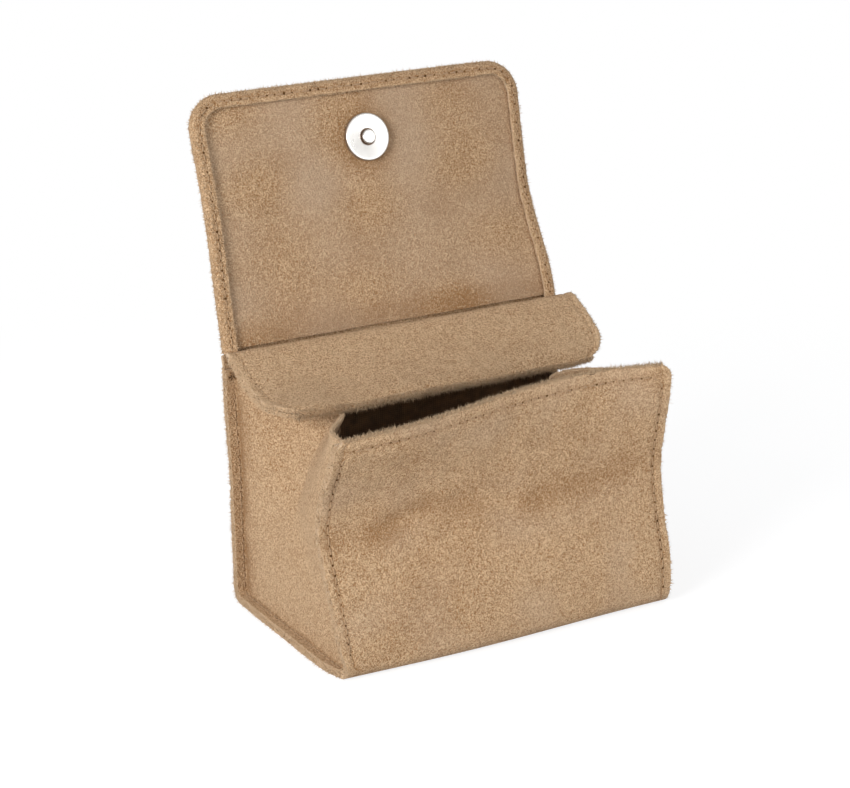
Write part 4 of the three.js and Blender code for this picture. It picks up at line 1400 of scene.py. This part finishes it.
class POUCH_OT_snap(Builder, bpy.types.Operator):
    """Build the snap's disc and stub, and finish its prong plate and washer"""

    bl_idname = "pouch.snap"
    bl_label = "Snap"

    def build(self, form):
        for piece, node in ((snap_disc(form), "snap_cap"), (snap_stub(form), "snap_stud")):
            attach(piece, "flap")
            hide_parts(node)
        for node in ("snap_prong_plate", "snap_washer"):
            refinish(node, "nickel")


class POUCH_OT_stitches(Builder, bpy.types.Operator):
    """Sew the seams, the front's top edge and the flap's hem"""

    bl_idname = "pouch.stitches"
    bl_label = "Stitches"

    def build(self, form):
        body_rows = [seam_row(form), flange_row(form, -1), flange_row(form, 1)]
        ends = gather(thread_ends(form, -1), thread_ends(form, 1))
        ends = add_piece("seam_ends", *ends, finish("needle_hole"))
        for part in (*sewn("seam", body_rows, form.k, 100), ends):
            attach(part, "pouch")
        for part in sewn("hem", [hem_row(form)], form.k, 200):
            crease_blend(part)


class POUCH_OT_fuzz(Builder, bpy.types.Operator):
    """Raise the fibres on the cut edges"""

    bl_idname = "pouch.fuzz"
    bl_label = "Fuzz"

    def build(self, form):
        body = fuzz_piece("seam_fuzz", strip_fuzz(form, np.random.default_rng(5)), form.k.fuzz, 500)
        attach(body, "pouch")
        flap = fuzz_piece("hem_fuzz", flap_fuzz(form, np.random.default_rng(6)), form.k.fuzz * 0.8, 600)
        crease_blend(flap)


# Stage

VIEW_AZIMUTH = math.radians(-28.95)
VIEW_ELEVATION = math.radians(18.8)
VIEW_ROLL = math.radians(-0.79)
VIEW_DISTANCE = 900.86 * MM
VIEW_MIDDLE = Vector((0, 0, 45 * MM))
VIEW_RIGHT = -9.1 * MM
VIEW_UP = 32.1 * MM

# In pixels
PICTURE_WIDTH = 850
FOCAL_LENGTH = 2543

# Lamps in metres and watts, and linear colours
LAMP_AIM = (0, 0, 70 * MM)
KEY_LAMP = {"place": (-1.15, -0.5, 0.5), "size": 0.5, "power": 15.0}
FRONT_LAMP = {"place": (0.3, -1.25, 0.28), "size": 0.8, "power": 6.2}
WORLD_LIGHT = (0.53, 0.535, 0.55)
WHITE = (1, 1, 1)
BLACK = (0, 0, 0)
FLOOR_HALF = 3.0
FLOOR_NEAR, FLOOR_FAR = 0.12, 0.40
FLOOR_LIT = (0.62, 0.62, 0.62)
FLOOR_SHADED = (0.32, 0.32, 0.32)
FLOOR_GLOW = (0.78, 0.78, 0.78)


def add_camera():
    """The camera at the photograph's place: turned round the object, raised, rolled and moved."""
    a, e = VIEW_AZIMUTH, VIEW_ELEVATION
    back = Vector((math.sin(a) * math.cos(e), -math.cos(a) * math.cos(e), math.sin(e)))
    right = (-back).cross(Vector((0, 0, 1))).normalized()
    up = right.cross(-back)
    roll = Matrix.Rotation(VIEW_ROLL, 3, back)
    right, up = roll @ right, roll @ up
    data = bpy.data.cameras.new("camera")
    data.sensor_width = 36
    data.lens = FOCAL_LENGTH / PICTURE_WIDTH * data.sensor_width
    camera = bpy.data.objects.new("camera", data)
    place = VIEW_MIDDLE + back * VIEW_DISTANCE + right * VIEW_RIGHT + up * VIEW_UP
    turned = Matrix((right, up, back)).transposed().to_4x4()
    camera.matrix_world = Matrix.Translation(place) @ turned
    bpy.context.scene.collection.objects.link(camera)
    bpy.context.scene.camera = camera


def add_lamp(name, place, size, power):
    """A soft square lamp that faces the object."""
    data = bpy.data.lights.new(name, "AREA")
    data.size, data.energy = size, power
    lamp = bpy.data.objects.new(name, data)
    lamp.location = place
    lamp.rotation_euler = (Vector(LAMP_AIM) - Vector(place)).to_track_quat("-Z", "Y").to_euler()
    bpy.context.scene.collection.objects.link(lamp)


def seen_directly(f):
    """1 for rays from the camera, from mirrors and through glass."""
    kinds = ("Is Camera Ray", "Is Glossy Ray", "Is Transmission Ray")
    camera, mirror, glass = (f.add("ShaderNodeLightPath", output=kind) for kind in kinds)
    return camera.larger(mirror.larger(glass))


def add_floor():
    """A pale floor that is white to the camera and keeps the object's shadow: near the object it
    partly glows and partly takes the light, and farther out it only glows."""
    corners = np.array([[-1, -1, 0], [1, -1, 0], [1, 1, 0], [-1, 1, 0]]) * FLOOR_HALF
    floor = add_piece("floor", corners, np.array([[0, 1, 2, 3]]))
    f = Finish("floor", Roughness=1.0, Specular_IOR_Level=0.0, Emission_Strength=1.0)
    direct = seen_directly(f)
    away = f.add("ShaderNodeVectorMath", {"operation": "LENGTH"}, {0: f.place()}, 1)
    open_floor = f.span(away, FLOOR_NEAR, FLOOR_FAR)
    f.set(Base_Color=f.mix(direct, FLOOR_LIT, f.mix(open_floor, FLOOR_SHADED, BLACK)))
    f.set(Emission_Color=f.mix(direct, BLACK, f.mix(open_floor, FLOOR_GLOW, WHITE)))
    floor.data.materials.append(f.material)


class WorldLight(Finish):
    """The world's node tree, made with the same methods."""

    def __init__(self):
        world = bpy.data.worlds.new("studio")
        world.use_nodes = True
        self.tree = world.node_tree
        self.shader = self.tree.nodes["Background"]
        bpy.context.scene.world = world


class POUCH_OT_stage(bpy.types.Operator):
    """Set up the camera, the floor, the lamps and the white background"""

    bl_idname = "pouch.stage"
    bl_label = "Stage"

    def execute(self, context):
        context.scene.view_settings.view_transform = "Standard"
        add_camera()
        add_floor()
        add_lamp("key", **KEY_LAMP)
        add_lamp("front", **FRONT_LAMP)
        world = WorldLight()
        world.set(Color=world.mix(seen_directly(world), WORLD_LIGHT, WHITE))
        return {"FINISHED"}


class POUCH_PT_panel(bpy.types.Panel):
    """The pouch's sizes, colours and steps"""

    bl_idname = "POUCH_PT_panel"
    bl_label = "Suede pouch"
    bl_space_type = "VIEW_3D"
    bl_region_type = "UI"
    bl_category = "Pouch"

    def draw(self, context):
        for group in (context.scene.pouch_sizes, context.scene.pouch_colours):
            box = self.layout.box()
            for key in group.__annotations__:
                box.prop(group, key)
        for step in STEPS:
            self.layout.operator(step.bl_idname)


STEPS = (
    POUCH_OT_stage,
    POUCH_OT_body,
    POUCH_OT_gussets,
    POUCH_OT_lining,
    POUCH_OT_tongue,
    POUCH_OT_flap,
    POUCH_OT_snap,
    POUCH_OT_stitches,
    POUCH_OT_fuzz,
)
CLASSES = (PouchSizes, PouchColours, *STEPS, POUCH_PT_panel)


def register():
    """Registers the classes and hangs the sizes and colours on the scene."""
    for cls in CLASSES:
        bpy.utils.register_class(cls)
    bpy.types.Scene.pouch_sizes = bpy.props.PointerProperty(type=PouchSizes)
    bpy.types.Scene.pouch_colours = bpy.props.PointerProperty(type=PouchColours)


def unregister():
    """Takes them off again."""
    del bpy.types.Scene.pouch_colours
    del bpy.types.Scene.pouch_sizes
    for cls in reversed(CLASSES):
        bpy.utils.unregister_class(cls)


def main():
    """Builds the pouch step by step."""
    register()
    for step in STEPS:
        group, name = step.bl_idname.split(".")
        getattr(getattr(bpy.ops, group), name)()


if __name__ == "__main__":
    main()
